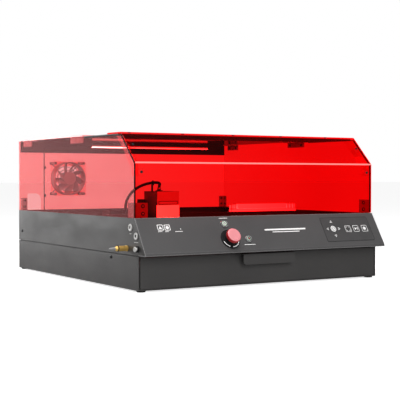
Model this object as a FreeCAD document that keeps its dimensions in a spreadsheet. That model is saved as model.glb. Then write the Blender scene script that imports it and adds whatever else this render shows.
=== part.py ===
import FreeCAD, Part
import math
import os

import Sketcher

# A desktop laser cutter: a two-storey steel base with a pull-out debris tray, a hood of red acrylic whose
# front half is a hinged lid, and a gantry that carries the laser module over a slotted bed.
#
# Frame: millimetres, +Z up, -Y towards the user. The origin is the centre of the base's footprint on the
# surface that the feet stand on.

Vector = FreeCAD.Vector
Rotation = FreeCAD.Rotation

DIMENSIONS = [
    ("base_width", 564, "outer width of the steel base, along X"),
    ("base_depth", 588, "outer depth of the steel base, along Y"),
    ("foot_height", 3, "height of the rubber feet"),
    ("lower_top", 66, "top of the lower box, above the floor"),
    ("seam_height", 1.2, "gap between the lower box and the upper housing"),
    ("rim_height", 135.5, "top of the base, where the hood stands"),
    ("hood_height", 296, "top of the hood"),
    ("fold_height", 238, "fold between the lid's front wall and its slope"),
    ("lid_setback", 13, "lid's front wall behind the lower box's front"),
    ("top_setback", 71, "front edge of the hood's flat top, behind the front"),
    ("hinge_setback", 236.5, "lid hinge axis behind the front"),
    ("panel_overhang", 28, "how far the control panel's lip stands in front"),
    ("panel_lip", 5.3, "height of the lip along the control panel"),
    ("steel", 2, "thickness of the steel sheet"),
    ("acrylic", 3, "thickness of the acrylic sheet"),
    ("flange_width", 14, "width of the folded flanges"),
    ("bracket_leg", 28, "leg and height of the corner brackets"),
    ("bed_thickness", 3, "thickness of the slotted bed"),
    ("bed_slot_pitch", 20, "distance between the bed's slots"),
    ("rail_offset", 246, "centre of each Y rail from the middle"),
    ("rail_size", 20, "side of the square rail profile"),
    ("rail_base", 84, "underside of the Y rails"),
    ("beam_top", 137, "top of the gantry beam"),
    ("gantry_setback", 182.5, "middle of the gantry beam behind the front"),
    ("belt_pitch_radius", 6.37, "pitch radius of a twenty-tooth belt pulley"),
    ("module_width", 49.5, "width of the laser module"),
    ("module_depth", 53, "depth of the laser module"),
    ("module_top", 183, "top of the laser module"),
    ("module_base", 100, "underside of the laser module's housing"),
    ("module_offset", 163, "middle of the laser module left of the base's middle"),
    ("head_fan_size", 40, "side of the laser module's fan"),
    ("exhaust_fan_size", 80, "side of the exhaust fan's frame"),
    ("exhaust_offset", 165, "middle of the exhaust fan left of the base's middle"),
    ("exhaust_height", 208, "middle of the exhaust fan above the floor"),
    ("stop_cap_radius", 14.9, "radius of the emergency stop's cap"),
    ("start_button_radius", 8, "outer radius of the upper push button's ring"),
    ("reset_button_radius", 7, "outer radius of the lower push button's ring"),
    ("socket_radius", 6.75, "radius of the round sockets in the left wall"),
    ("fitting_radius", 5, "radius of the brass air fitting"),
    ("cable_radius", 3, "radius of the laser module's ribbed cable"),
]

doc = FreeCAD.newDocument("desktop_laser_cutter")
sheet = doc.addObject("Spreadsheet::Sheet", "dims")
for row, (alias, value, meaning) in enumerate(DIMENSIONS, start=1):
    sheet.set(f"A{row}", alias)
    sheet.set(f"B{row}", str(value))
    sheet.set(f"C{row}", meaning)
    sheet.setAlias(f"B{row}", alias)
doc.recompute()


class Dim:
    """A length that carries its value and the spreadsheet expression that gives it."""

    def __init__(self, text, value):
        self.text = text
        self.value = value

    def __add__(self, other):
        other = dim(other)
        return Dim(f"({self.text} + {other.text})", self.value + other.value)

    def __radd__(self, other):
        return dim(other) + self

    def __sub__(self, other):
        other = dim(other)
        return Dim(f"({self.text} - {other.text})", self.value - other.value)

    def __rsub__(self, other):
        return dim(other) - self

    def __mul__(self, factor):
        return Dim(f"({self.text} * {factor!r})", self.value * factor)

    def __rmul__(self, factor):
        return self * factor

    def __truediv__(self, divisor):
        return Dim(f"({self.text} / {divisor!r})", self.value / divisor)

    def __neg__(self):
        return Dim(f"(-{self.text})", -self.value)


def dim(length):
    """A Dim for a plain number or a Dim."""
    return length if isinstance(length, Dim) else Dim(f"({float(length)!r})", float(length))


def named(alias):
    """The Dim of a spreadsheet cell."""
    return Dim(f"dims.{alias}", float(sheet.get(alias)))


def bind(thing, path, length):
    thing.setExpression(path, dim(length).text)


def place(thing, at, rotation=None):
    """Puts a piece's base point at a corner or centre given by three lengths."""
    if rotation is not None:
        thing.Placement = FreeCAD.Placement(Vector(0, 0, 0), rotation)
    for axis, length in zip("xyz", at):
        bind(thing, f".Placement.Base.{axis}", length)


def box(name, low, high):
    """A block from its lowest corner to its highest one."""
    block = doc.addObject("Part::Box", name)
    for prop, near, far in zip(("Length", "Width", "Height"), low, high):
        bind(block, prop, dim(far) - near)
    place(block, low)
    return block


AXES = {
    "+x": Rotation(Vector(0, 1, 0), 90),
    "-x": Rotation(Vector(0, 1, 0), -90),
    "+y": Rotation(Vector(1, 0, 0), -90),
    "-y": Rotation(Vector(1, 0, 0), 90),
    "+z": Rotation(),
    "-z": Rotation(Vector(1, 0, 0), 180),
}


def cylinder(name, at, radius, length, axis="+z"):
    """A round bar that starts at a point and runs along an axis."""
    bar = doc.addObject("Part::Cylinder", name)
    bind(bar, "Radius", radius)
    bind(bar, "Height", length)
    place(bar, at, AXES[axis] if isinstance(axis, str) else axis)
    return bar


def cone(name, at, radius_start, radius_end, length, axis="+z"):
    """A taper that starts at a point and runs along an axis."""
    taper = doc.addObject("Part::Cone", name)
    bind(taper, "Radius1", radius_start)
    bind(taper, "Radius2", radius_end)
    bind(taper, "Height", length)
    place(taper, at, AXES[axis] if isinstance(axis, str) else axis)
    return taper


def origin_plane(body, role):
    return [feature for feature in body.Origin.OriginFeatures if feature.Role == role][0]


def add_outline(sketch, outline):
    """Draws a closed outline whose corners are held at the given distances from the origin."""
    first = sketch.GeometryCount
    count = len(outline)
    corners = [(dim(a), dim(b)) for a, b in outline]
    for index, (a, b) in enumerate(corners):
        c, d = corners[(index + 1) % count]
        sketch.addGeometry(Part.LineSegment(Vector(a.value, b.value, 0), Vector(c.value, d.value, 0)), False)
    for index in range(count):
        following = first + (index + 1) % count
        sketch.addConstraint(Sketcher.Constraint("Coincident", first + index, 2, following, 1))
    for index, (a, b) in enumerate(corners):
        for kind, length in (("DistanceX", a), ("DistanceY", b)):
            held = sketch.addConstraint(Sketcher.Constraint(kind, -1, 1, first + index, 1, length.value))
            bind(sketch, f"Constraints[{held}]", length)


def new_sketch(body, name, plane):
    sketch = body.newObject("Sketcher::SketchObject", name)
    sketch.AttachmentSupport = [(origin_plane(body, f"{plane}_Plane"), "")]
    sketch.MapMode = "FlatFace"
    return sketch


def prism(name, plane, outline, start, end):
    """A body with one closed outline, drawn in a plane and padded from start to end along its normal."""
    body = doc.addObject("PartDesign::Body", name)
    sketch = new_sketch(body, f"{name}_outline", plane)
    add_outline(sketch, outline)
    pad = body.newObject("PartDesign::Pad", f"{name}_pad")
    pad.Profile = sketch
    bind(pad, "Length", dim(end) - start)
    pad.Reversed = plane == "XZ"
    axis = {"YZ": "x", "XZ": "y", "XY": "z"}[plane]
    bind(body, f".Placement.Base.{axis}", start)
    doc.recompute()
    return body


def rounded(body, radius, chosen):
    """Rounds the edges of a body's last feature for which chosen(midpoint, direction) is true."""
    base = body.Tip
    names = []
    for index, edge in enumerate(base.Shape.Edges, start=1):
        middle = edge.valueAt((edge.FirstParameter + edge.LastParameter) / 2)
        along = edge.tangentAt(edge.FirstParameter)
        if chosen(middle, along):
            names.append(f"Edge{index}")
    if not names:
        raise ValueError(f"no edge to round on {body.Label}")
    fillet = body.newObject("PartDesign::Fillet", f"{body.Name}_round{len(body.Group)}")
    fillet.Base = (base, names)
    fillet.Radius = radius
    doc.recompute()
    return body


def runs_along(direction, axis):
    return abs(direction.dot(axis)) > 0.999


def fused(name, pieces):
    joined = doc.addObject("Part::MultiFuse", name)
    joined.Shapes = pieces
    joined.Refine = True
    return joined


def cut(name, base, tools):
    tool = tools[0] if len(tools) == 1 else fused(f"{name}_tools", tools)
    result = doc.addObject("Part::Cut", name)
    result.Base = base
    result.Tool = tool
    result.Refine = True
    return result


def group(name, pieces):
    """Separate solids that share one node."""
    compound = doc.addObject("Part::Compound", name)
    compound.Links = pieces
    return compound


def mirrored(name, source):
    """The same piece on the other side of the base's middle."""
    copy = doc.addObject("Part::Mirroring", name)
    copy.Source = source
    copy.Normal = Vector(1, 0, 0)
    copy.Base = Vector(0, 0, 0)
    return copy


nodes = []


def node(piece, label=None):
    """Marks a piece as one of the cutter's separate parts."""
    if label is not None:
        piece.Label = label
    nodes.append(piece)
    return piece


# Reference lengths that most pieces share.
STEEL = named("steel")
ACRYLIC = named("acrylic")
LEFT = -named("base_width") / 2
RIGHT = named("base_width") / 2
FRONT = -named("base_depth") / 2
REAR = named("base_depth") / 2
FOOT = named("foot_height")
LOWER_TOP = named("lower_top")
UPPER_BASE = named("lower_top") + named("seam_height")
RIM = named("rim_height")
FLANGE = named("flange_width")
HOOD_TOP = named("hood_height")
FOLD = named("fold_height")
LID_FRONT = FRONT + named("lid_setback")
TOP_FRONT = FRONT + named("top_setback")
HINGE_Y = FRONT + named("hinge_setback")
HINGE_Z = HOOD_TOP - 3.5
LEG = named("bracket_leg")
RAIL = named("rail_size")
RAIL_X = named("rail_offset")
RAIL_BASE = named("rail_base")
BEAM_TOP = named("beam_top")
BEAM_Y = FRONT + named("gantry_setback")
MODULE_X = -named("module_offset")
X_AXIS = Vector(1, 0, 0)
Y_AXIS = Vector(0, 1, 0)
Z_AXIS = Vector(0, 0, 1)


# ---------------------------------------------------------------------------------------------------------
# Lower box, its feet and the pull-out debris tray
# ---------------------------------------------------------------------------------------------------------

def lower_box():
    """A lipped channel of bent sheet, closed at the rear and open at the front for the tray."""
    low = FOOT
    top = LOWER_TOP
    outline = [
        (LEFT, low), (RIGHT, low), (RIGHT, top), (RIGHT - FLANGE, top), (RIGHT - FLANGE, top - STEEL),
        (RIGHT - STEEL, top - STEEL), (RIGHT - STEEL, low + STEEL), (LEFT + STEEL, low + STEEL),
        (LEFT + STEEL, top - STEEL), (LEFT + FLANGE, top - STEEL), (LEFT + FLANGE, top), (LEFT, top),
    ]
    channel = prism("tub_channel", "XZ", outline, FRONT, REAR)
    rear_wall = box("tub_rear_wall", (LEFT + STEEL, REAR - STEEL, low + STEEL), (RIGHT - STEEL, REAR, top))
    rear_lip = box(
        "tub_rear_lip", (LEFT + STEEL, REAR - FLANGE, top - STEEL), (RIGHT - STEEL, REAR - STEEL, top)
    )
    node(fused("base_tub", [channel, rear_wall, rear_lip]))


def feet():
    radius = 9
    inset = 11
    pads = []
    for x in (LEFT + inset, RIGHT - inset):
        for y in (FRONT + inset, REAR - inset):
            pads.append(cone(f"foot_{len(pads) + 1}", (x, y, 0), radius - 1, radius, FOOT))
    node(group("base_feet", pads))


def seam_gasket():
    """Foam strips on the lower box's lips, set back from the outside so that the seam shows."""
    inset = 3
    width = 8
    low = LOWER_TOP
    high = UPPER_BASE
    strips = [
        box("gasket_left", (LEFT + inset, FRONT + inset, low), (LEFT + inset + width, REAR - inset, high)),
        box("gasket_right", (RIGHT - inset - width, FRONT + inset, low), (RIGHT - inset, REAR - inset, high)),
        box("gasket_rear", (LEFT + inset, REAR - inset - width, low), (RIGHT - inset, REAR - inset, high)),
    ]
    return fused("seam_gasket", strips)


DRAWER_GAP = 4
DRAWER_BASE = 7.2
DRAWER_TOP = 63.5
TRAY_WALL = 1.5
TRAY_TOP = 44
TRAY_LENGTH = 520


def debris_drawer():
    """The tray under the bed: a front plate, an open tray behind it, a bent tab to pull and two glides."""
    side = DRAWER_GAP
    plate = box("drawer_front", (LEFT + side, FRONT, FOOT + 2.8), (RIGHT - side, FRONT + STEEL, DRAWER_TOP))
    node(plate)
    x0 = LEFT + 16
    x1 = RIGHT - 16
    y0 = FRONT + STEEL
    y1 = FRONT + STEEL + TRAY_LENGTH
    shell = box("tray_block", (x0, y0, DRAWER_BASE), (x1, y1, TRAY_TOP))
    hollow = box(
        "tray_hollow",
        (x0 + TRAY_WALL, y0 + TRAY_WALL, DRAWER_BASE + TRAY_WALL),
        (x1 - TRAY_WALL, y1 - TRAY_WALL, TRAY_TOP + 5),
    )
    tray = cut("tray_pan", shell, [hollow])
    glides = []
    for x in (LEFT + 40, RIGHT - 60):
        glides.append(box(f"tray_glide_{len(glides) + 1}", (x, y0 + 10, FOOT + STEEL + 0.1),
                          (x + 20, y1 - 10, DRAWER_BASE)))
    node(fused("drawer_tray", [tray] + glides))

    half = 61
    reach = 14
    drop = 21
    outline = [
        (FRONT, DRAWER_TOP), (FRONT - reach, DRAWER_TOP), (FRONT - reach, DRAWER_TOP - drop),
        (FRONT - reach + STEEL, DRAWER_TOP - drop), (FRONT - reach + STEEL, DRAWER_TOP - STEEL),
        (FRONT, DRAWER_TOP - STEEL),
    ]
    tab = prism("drawer_handle", "YZ", outline, -half, half)
    low_corner = DRAWER_TOP - drop
    rounded(tab, 7, lambda p, d: runs_along(d, Y_AXIS) and abs(p.z - low_corner) < 0.1)
    bend = (FRONT - reach).value
    rounded(tab, 1.6, lambda p, d: runs_along(d, X_AXIS) and abs(p.z - DRAWER_TOP) < 0.1
            and abs(p.y - bend) < 0.1)
    node(tab)


# ---------------------------------------------------------------------------------------------------------
# Upper housing and control panel
# ---------------------------------------------------------------------------------------------------------

# The control panel slopes from the rim, at the lid, down and forward to its lip.
PANEL_TOP = (LID_FRONT, RIM)
PANEL_FOOT = (FRONT - named("panel_overhang") + 1, UPPER_BASE + named("panel_lip"))
PANEL_RUN = PANEL_TOP[0].value - PANEL_FOOT[0].value
PANEL_FALL = PANEL_TOP[1].value - PANEL_FOOT[1].value
PANEL_LENGTH = math.hypot(PANEL_RUN, PANEL_FALL)
PANEL_DOWN = Vector(0, -PANEL_RUN / PANEL_LENGTH, -PANEL_FALL / PANEL_LENGTH)
PANEL_NORMAL = Vector(0, -PANEL_FALL / PANEL_LENGTH, PANEL_RUN / PANEL_LENGTH)
PANEL_TURN = Rotation(Vector(0, 0, 1), PANEL_NORMAL)


def on_panel(x, down, height=0.0):
    """A point x from the middle, down the panel's slope from its top edge, and height off its face."""
    shift = PANEL_DOWN * down + PANEL_NORMAL * height
    return (dim(x), PANEL_TOP[0] + shift.y, PANEL_TOP[1] + shift.z)


FIT = 0.08
START_AT = (-94.8, 17.0)
RESET_AT = (-50.8, 51.5)
STOP_AT = (-92.0, 50.5)
KEYPAD_AT = (200.0, 37.0)
SOCKETS_AT = ((31.0, 118.0), (8.7, 103.0))
POWER_AT = (2.7, 79.5)
FITTING_AT = (45.0, 79.0)


def control_panel():
    """Bent sheet: the slope, a narrow upright lip and a return under the overhang."""
    top_y, top_z = PANEL_TOP
    foot_y, foot_z = PANEL_FOOT
    lip_y = FRONT - named("panel_overhang")
    inner = STEEL.value * PANEL_LENGTH / PANEL_FALL
    outline = [
        (top_y, top_z), (foot_y, foot_z), (lip_y, UPPER_BASE), (FRONT - 2, UPPER_BASE),
        (FRONT - 2, UPPER_BASE + STEEL), (lip_y + STEEL, UPPER_BASE + STEEL),
        (foot_y + STEEL, foot_z + 0.4), (top_y + inner, top_z),
    ]
    sheet_body = prism("panel_sheet", "YZ", outline, LEFT - 1, RIGHT + 1)
    rounded(sheet_body, 1.4, lambda p, d: runs_along(d, X_AXIS)
            and (abs(p.z - foot_z.value) < 0.1 and p.y < foot_y.value + 0.5
                 or abs(p.z - UPPER_BASE.value) < 0.1 and p.y < lip_y.value + 0.5))
    holes = [
        cylinder("start_hole", on_panel(*START_AT, -8), 6.2, 16, PANEL_TURN),
        cylinder("reset_hole", on_panel(*RESET_AT, -8), 5.2, 16, PANEL_TURN),
        cylinder("stop_hole", on_panel(*STOP_AT, -8), 8.2, 16, PANEL_TURN),
    ]
    node(cut("control_panel", sheet_body, holes))


def ring_frame(name, low, high, z0, z1, width):
    """A flat rectangular frame between two heights."""
    outer = box(f"{name}_outer", (low[0], low[1], z0), (high[0], high[1], z1))
    inner_low = (low[0] + width, low[1] + width, dim(z0) - 1)
    inner_high = (high[0] - width, high[1] - width, dim(z1) + 1)
    return cut(name, outer, [box(f"{name}_inner", inner_low, inner_high)])


def upper_housing():
    """Side walls that follow the panel's slope, a rear wall, a wall behind the panel, and two flanges."""
    slope = PANEL_RUN / PANEL_FALL
    inner = STEEL.value * PANEL_LENGTH / PANEL_FALL + 0.2
    low_z = UPPER_BASE + named("panel_lip") + 0.9
    wall_top_y = LID_FRONT + inner
    wall_foot_y = wall_top_y - (RIM - low_z) * slope
    outline = [
        (wall_top_y, RIM), (REAR, RIM), (REAR, UPPER_BASE), (FRONT - 1.5, UPPER_BASE),
        (FRONT - 1.5, UPPER_BASE + STEEL + 0.2), (wall_foot_y - 1, UPPER_BASE + STEEL + 0.2),
        (wall_foot_y, low_z),
    ]
    left_wall = prism("housing_left_wall", "YZ", outline, LEFT, LEFT + STEEL)
    right_wall = prism("housing_right_wall", "YZ", outline, RIGHT - STEEL, RIGHT)
    x0 = LEFT + STEEL
    x1 = RIGHT - STEEL
    front_wall = FRONT + 17
    rim_flange = ring_frame("housing_rim", (x0, wall_top_y), (x1, REAR - STEEL), RIM - STEEL, RIM, 13)
    floor_flange = ring_frame(
        "housing_floor", (x0, front_wall), (x1, REAR - STEEL), UPPER_BASE, UPPER_BASE + STEEL, FLANGE
    )
    shell = fused("housing_shell", [
        left_wall,
        right_wall,
        box("housing_rear_wall", (x0, REAR - STEEL, UPPER_BASE), (x1, REAR, RIM)),
        box("housing_front_wall", (x0, front_wall, UPPER_BASE), (x1, front_wall + STEEL, RIM - STEEL)),
        rim_flange,
        floor_flange,
    ])
    holes = []
    for index, (y, z) in enumerate(SOCKETS_AT, start=1):
        holes.append(cylinder(f"socket_hole_{index}", (LEFT - 2, FRONT + y, z), 4.6, 6, "+x"))
    holes.append(cylinder("power_hole", (LEFT - 2, FRONT + POWER_AT[0], POWER_AT[1]), 4.1, 6, "+x"))
    holes.append(cylinder("fitting_hole", (LEFT - 2, FRONT + FITTING_AT[0], FITTING_AT[1]), 3.6, 6, "+x"))
    node(cut("upper_housing", shell, holes))


def button(name, at, ring_radius, bezel_pieces, cap_name):
    """A push button: a ring and threaded barrel in the panel, a nut behind it, and the cap that travels."""
    bore = ring_radius - 2.6
    barrel = ring_radius - 2
    ring = cylinder(f"{name}_ring", on_panel(*at, 0), ring_radius, 2.4, PANEL_TURN)
    tube = cylinder(f"{name}_barrel", on_panel(*at, -11), barrel, 11.5, PANEL_TURN)
    nut = cylinder(f"{name}_nut", on_panel(*at, -5.2), ring_radius + 1, 3, PANEL_TURN)
    hole = cylinder(f"{name}_bore", on_panel(*at, -9), bore, 14, PANEL_TURN)
    bezel_pieces.append(cut(f"{name}_bezel", fused(f"{name}_solid", [ring, tube, nut]), [hole]))
    head = cylinder(f"{name}_cap_head", on_panel(*at, -4), bore - FIT, 6.6, PANEL_TURN)
    dome = cone(f"{name}_cap_dome", on_panel(*at, 2.6), bore - FIT, bore - 1.2, 0.7, PANEL_TURN)
    node(fused(cap_name, [head, dome]))


POWER_BORE = 3.4


def power_bezel():
    y = FRONT + POWER_AT[0]
    z = POWER_AT[1]
    face = cylinder("power_ring", (LEFT, y, z), 6, 3, "-x")
    barrel = cylinder("power_barrel", (LEFT, y, z), 4, 10, "+x")
    bore = cylinder("power_bore", (LEFT - 5, y, z), POWER_BORE, 13, "+x")
    return cut("power_bezel", fused("power_solid", [face, barrel]), [bore])


def panel_controls():
    bezels = []
    button("start", START_AT, named("start_button_radius"), bezels, "start_button")
    button("reset", RESET_AT, named("reset_button_radius"), bezels, "reset_button")
    bezels.append(power_bezel())
    node(group("button_bezels", bezels))

    cap = named("stop_cap_radius")
    collar = cylinder("stop_collar_disc", on_panel(*STOP_AT, 0), 20.5, 2, PANEL_TURN)
    neck = cylinder("stop_collar_neck", on_panel(*STOP_AT, 2), 12.5, 3.5, PANEL_TURN)
    barrel = cylinder("stop_barrel", on_panel(*STOP_AT, -10), 8, 11, PANEL_TURN)
    bore = cylinder("stop_bore", on_panel(*STOP_AT, -12), 5.2, 20, PANEL_TURN)
    ring = cut("stop_ring", fused("stop_ring_solid", [collar, neck, barrel]), [bore])
    contact = cylinder("stop_contact_body", on_panel(*STOP_AT, -20), 9, 9.9, PANEL_TURN)
    socket = cylinder("stop_contact_bore", on_panel(*STOP_AT, -17), 5.4, 10, PANEL_TURN)
    node(group("stop_collar", [ring, cut("stop_contact_block", contact, [socket])]))
    node(cylinder("stop_plunger", on_panel(*STOP_AT, -10), 5, 22.9, PANEL_TURN))
    skirt = cylinder("stop_cap_skirt", on_panel(*STOP_AT, 10.0), cap, 5.5, PANEL_TURN)
    crown = cone("stop_cap_crown", on_panel(*STOP_AT, 15.5), cap, cap - 2.2, 2.3, PANEL_TURN)
    seat = cylinder("stop_cap_seat", on_panel(*STOP_AT, 9), 5 + FIT, 4, PANEL_TURN)
    node(cut("stop_cap", fused("stop_cap_solid", [skirt, crown]), [seat]))

    half_x = 62
    half_s = 28
    plate = doc.addObject("Part::Box", "keypad_overlay")
    plate.Length = 2 * half_x
    plate.Width = 2 * half_s
    plate.Height = 0.6
    corner = on_panel(KEYPAD_AT[0] - half_x, KEYPAD_AT[1] + half_s, 0)
    place(plate, corner, PANEL_TURN)
    node(plate)

    board = doc.addObject("Part::Box", "circuit_board")
    board.Length = 150
    board.Width = 40
    board.Height = 1.6
    corner = on_panel(KEYPAD_AT[0] - 75, KEYPAD_AT[1] + 22, -9)
    place(board, corner, PANEL_TURN)
    posts = []
    for x, s in ((-68, -12), (68, -12), (-68, 16), (68, 16)):
        at = on_panel(KEYPAD_AT[0] + x, KEYPAD_AT[1] + s, -7.4)
        posts.append(cylinder(f"board_post_{len(posts) + 1}", at, 2.5, 5.4, PANEL_TURN))
    node(group("control_board", [board] + posts))


def side_ports():
    """Two round sockets, the power button's cap and the brass air fitting in the left wall."""
    radius = named("socket_radius")
    sockets = []
    for index, (y, z) in enumerate(SOCKETS_AT, start=1):
        at_y = FRONT + y
        face = cylinder(f"socket_face_{index}", (LEFT, at_y, z), radius, 2, "-x")
        barrel = cylinder(f"socket_barrel_{index}", (LEFT, at_y, z), 4.5, 9, "+x")
        hole = cylinder(f"socket_bore_{index}", (LEFT - 4, at_y, z), 2.6, 10, "+x")
        sockets.append(cut(f"socket_{index}", fused(f"socket_solid_{index}", [face, barrel]), [hole]))
    node(group("side_sockets", sockets))

    y = FRONT + POWER_AT[0]
    z = POWER_AT[1]
    stem = cylinder("power_stem", (LEFT - 5.5, y, z), POWER_BORE - FIT, 9, "+x")
    head = cylinder("power_head", (LEFT - 5.5, y, z), 5, 1.5, "-x")
    node(fused("power_button", [stem, head]))

    y = FRONT + FITTING_AT[0]
    z = FITTING_AT[1]
    brass = named("fitting_radius")
    body = fused("fitting_brass", [
        cylinder("fitting_collar", (LEFT, y, z), brass + 2, 2.5, "-x"),
        cylinder("fitting_body", (LEFT - 2.5, y, z), brass, 19, "-x"),
        cone("fitting_barb", (LEFT - 21.5, y, z), brass, 3, 3.5, "-x"),
        cylinder("fitting_thread", (LEFT + 8, y, z), 3.5, 8, "-x"),
    ])
    ring = cylinder("oring_block", (LEFT - 18.5, y, z), brass + 0.9, 2, "-x")
    hole = cylinder("oring_hole", (LEFT - 17, y, z), brass, 5, "-x")
    tail = cone("fitting_tail", (LEFT - 25, y, z), 2.9, 1.4, 12, "-x")
    node(group("air_fitting", [body, cut("fitting_ring", ring, [hole]), tail]))


def housing_screws():
    """Pan heads on the side walls and the rear edge."""
    spots = [
        ("-x", LEFT, FRONT + 111.4, 58.5), ("-x", LEFT, REAR - 21.5, 88.5),
        ("+x", RIGHT, FRONT + 111.4, 58.5), ("+x", RIGHT, REAR - 21.5, 88.5),
    ]
    heads = []
    for axis, x, y, z in spots:
        heads.append(cylinder(f"side_screw_{len(heads) + 1}", (x, y, z), 3.2, 1.6, axis))
    for x in (LEFT + 8, RIGHT - 8):
        for z in (25.0, 57.3, 90.0, 122.0):
            heads.append(cylinder(f"rear_screw_{len(heads) + 1}", (x, REAR, z), 2.8, 1.6, "+y"))
    return heads


# ---------------------------------------------------------------------------------------------------------
# Hood: fixed acrylic panels, brackets, light strip
# ---------------------------------------------------------------------------------------------------------

SEAL = 1.2
SEAL_GAP = 0.3
TAN_HALF_FOLD = math.tan(math.radians(22.5))
PLATE_TOP = HOOD_TOP - ACRYLIC
PLATE_BASE = PLATE_TOP - STEEL
PLATE_REAR = HINGE_Y - 3.5
TOP_PANEL_FRONT = HINGE_Y + 3.5
SIDE_TOP = PLATE_BASE - SEAL_GAP - SEAL


def lid_line(inset, top):
    """The lid's profile, set in from its outside, from the front wall's foot to a height under the top."""
    y = LID_FRONT + inset
    fold = FOLD - dim(inset) * TAN_HALF_FOLD
    return y, fold, y + (dim(top) - fold)


def hood_panels():
    y, fold, top_y = lid_line(ACRYLIC + SEAL_GAP + SEAL, SIDE_TOP)
    outline = [
        (y, RIM), (y, fold), (top_y, SIDE_TOP), (HINGE_Y + 2, SIDE_TOP), (HINGE_Y + 2, PLATE_TOP),
        (REAR - ACRYLIC, PLATE_TOP), (REAR - ACRYLIC, RIM),
    ]
    left = prism("hood_left_panel", "YZ", outline, LEFT, LEFT + ACRYLIC)
    node(group("hood_side_panels", [left, mirrored("hood_right_panel", left)]))

    outer_y, outer_fold, outer_top = lid_line(ACRYLIC + SEAL_GAP, PLATE_BASE - SEAL_GAP)
    seal_outline = [
        (outer_y, RIM + 1), (outer_y, outer_fold), (outer_top, PLATE_BASE - SEAL_GAP),
        (HINGE_Y - 8, PLATE_BASE - SEAL_GAP), (HINGE_Y - 8, SIDE_TOP), (top_y, SIDE_TOP), (y, fold),
        (y, RIM + 1),
    ]
    seal_left = prism("seal_left", "YZ", seal_outline, LEFT, LEFT + ACRYLIC)

    rear = box("rear_sheet", (LEFT, REAR - ACRYLIC, RIM), (RIGHT, REAR, PLATE_TOP))
    fan_x = -named("exhaust_offset")
    fan_z = named("exhaust_height")
    holes = [cylinder("rear_fan_hole", (fan_x, REAR - 10, fan_z), 36.5, 20, "+y")]
    for dx in (-35.75, 35.75):
        for dz in (-35.75, 35.75):
            holes.append(cylinder(f"rear_fan_screw_hole_{len(holes)}", (fan_x + dx, REAR - 10, fan_z + dz),
                                  2.1, 20, "+y"))
    holes.append(box("cable_notch_low", (LEFT + 20, REAR - 10, RIM - 1), (LEFT + 54, REAR + 10, RIM + 24)))
    holes.append(box("cable_notch_high", (LEFT + 20, REAR - 10, RIM), (LEFT + 40, REAR + 10, RIM + 38)))
    holes.append(cylinder("cable_notch_round", (LEFT + 40, REAR - 10, RIM + 24), 14, 20, "+y"))
    node(cut("hood_rear_panel", rear, holes))

    node(box("hood_top_panel", (LEFT, TOP_PANEL_FRONT, PLATE_TOP), (RIGHT, REAR, HOOD_TOP)))
    return [seal_left, mirrored("seal_right", seal_left)]


def angle(name, corner, leg_x, leg_y, height, thickness=2.0):
    """An upright L-bracket whose legs run from the corner as the signs of leg_x and leg_y say."""
    x, y, z = corner
    points = [(x, y), (x + leg_x, y)]
    sx = thickness if leg_x > 0 else -thickness
    sy = thickness if leg_y > 0 else -thickness
    points += [(x + leg_x, y + sy), (x + sx, y + sy), (x + sx, y + leg_y), (x, y + leg_y)]
    return prism(name, "XY", points, z, dim(z) + height)


REAR_LEG_X = 16
REAR_LEG_Y = -12


def hood_brackets():
    """Angles in the hood's corners and under its top, and the magnets that hold the lid shut."""
    inner = LEFT + ACRYLIC
    y_front = LID_FRONT + ACRYLIC + SEAL_GAP + SEAL
    y_rear = REAR - ACRYLIC
    front_left = angle("front_left_angle", (inner, y_front, RIM), 26, 30, LEG.value)
    rear_left = angle("rear_left_angle", (inner, y_rear, RIM), REAR_LEG_X, REAR_LEG_Y, LEG.value)
    front_right = mirrored("front_right_angle", front_left)
    rear_right = mirrored("rear_right_angle", rear_left)
    node(group("corner_brackets", [front_left, rear_left, front_right, rear_right]))

    magnets = []
    heads = []

    def screw(at, axis):
        heads.append(cylinder(f"bracket_screw_{len(heads) + 1}", at, 2.4, 1.6, axis))

    for side in (-1, 1):
        inwards = "+x" if side < 0 else "-x"
        magnet_x = RIGHT * side - 18.5 * side
        wall_x = RIGHT * side - (ACRYLIC + 2) * side
        rear_x = RIGHT * side - (ACRYLIC + 10) * side
        for z in (RIM + 8, RIM + 22):
            magnet_at = (magnet_x, y_front - 1.2, z)
            magnets.append(cylinder(f"magnet_{len(magnets) + 1}", magnet_at, 3.6, 1.2, "+y"))
            screw((wall_x, y_front + 20, z), inwards)
            screw((wall_x, y_rear - 8, z), inwards)
            screw((rear_x, y_rear - 2, z), "-y")
    node(group("lid_magnets", magnets))

    top_angles = []
    for name, y0, y1 in (("mid", FRONT + 243, FRONT + 306), ("rear", FRONT + 518, FRONT + 566)):
        outline = [
            (inner, PLATE_TOP), (inner + 15, PLATE_TOP), (inner + 15, PLATE_TOP - 1.5),
            (inner + 1.5, PLATE_TOP - 1.5), (inner + 1.5, PLATE_TOP - 13), (inner, PLATE_TOP - 13),
        ]
        left = prism(f"{name}_top_angle", "XZ", outline, y0, y1)
        top_angles += [left, mirrored(f"{name}_top_angle_right", left)]
        for y in (y0 + 10, y1 - 10):
            for side in (-1, 1):
                wall_x = RIGHT * side - (ACRYLIC + 1.5) * side
                screw((wall_x, y, PLATE_TOP - 7.5), "+x" if side < 0 else "-x")
    switch_x = inner + 3.4
    top_angles.append(box("lid_switch", (switch_x, FRONT + 273, PLATE_TOP - 11),
                          (switch_x + 8, FRONT + 288, PLATE_TOP - 1.5)))
    node(group("top_brackets", top_angles))
    return heads


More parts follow.
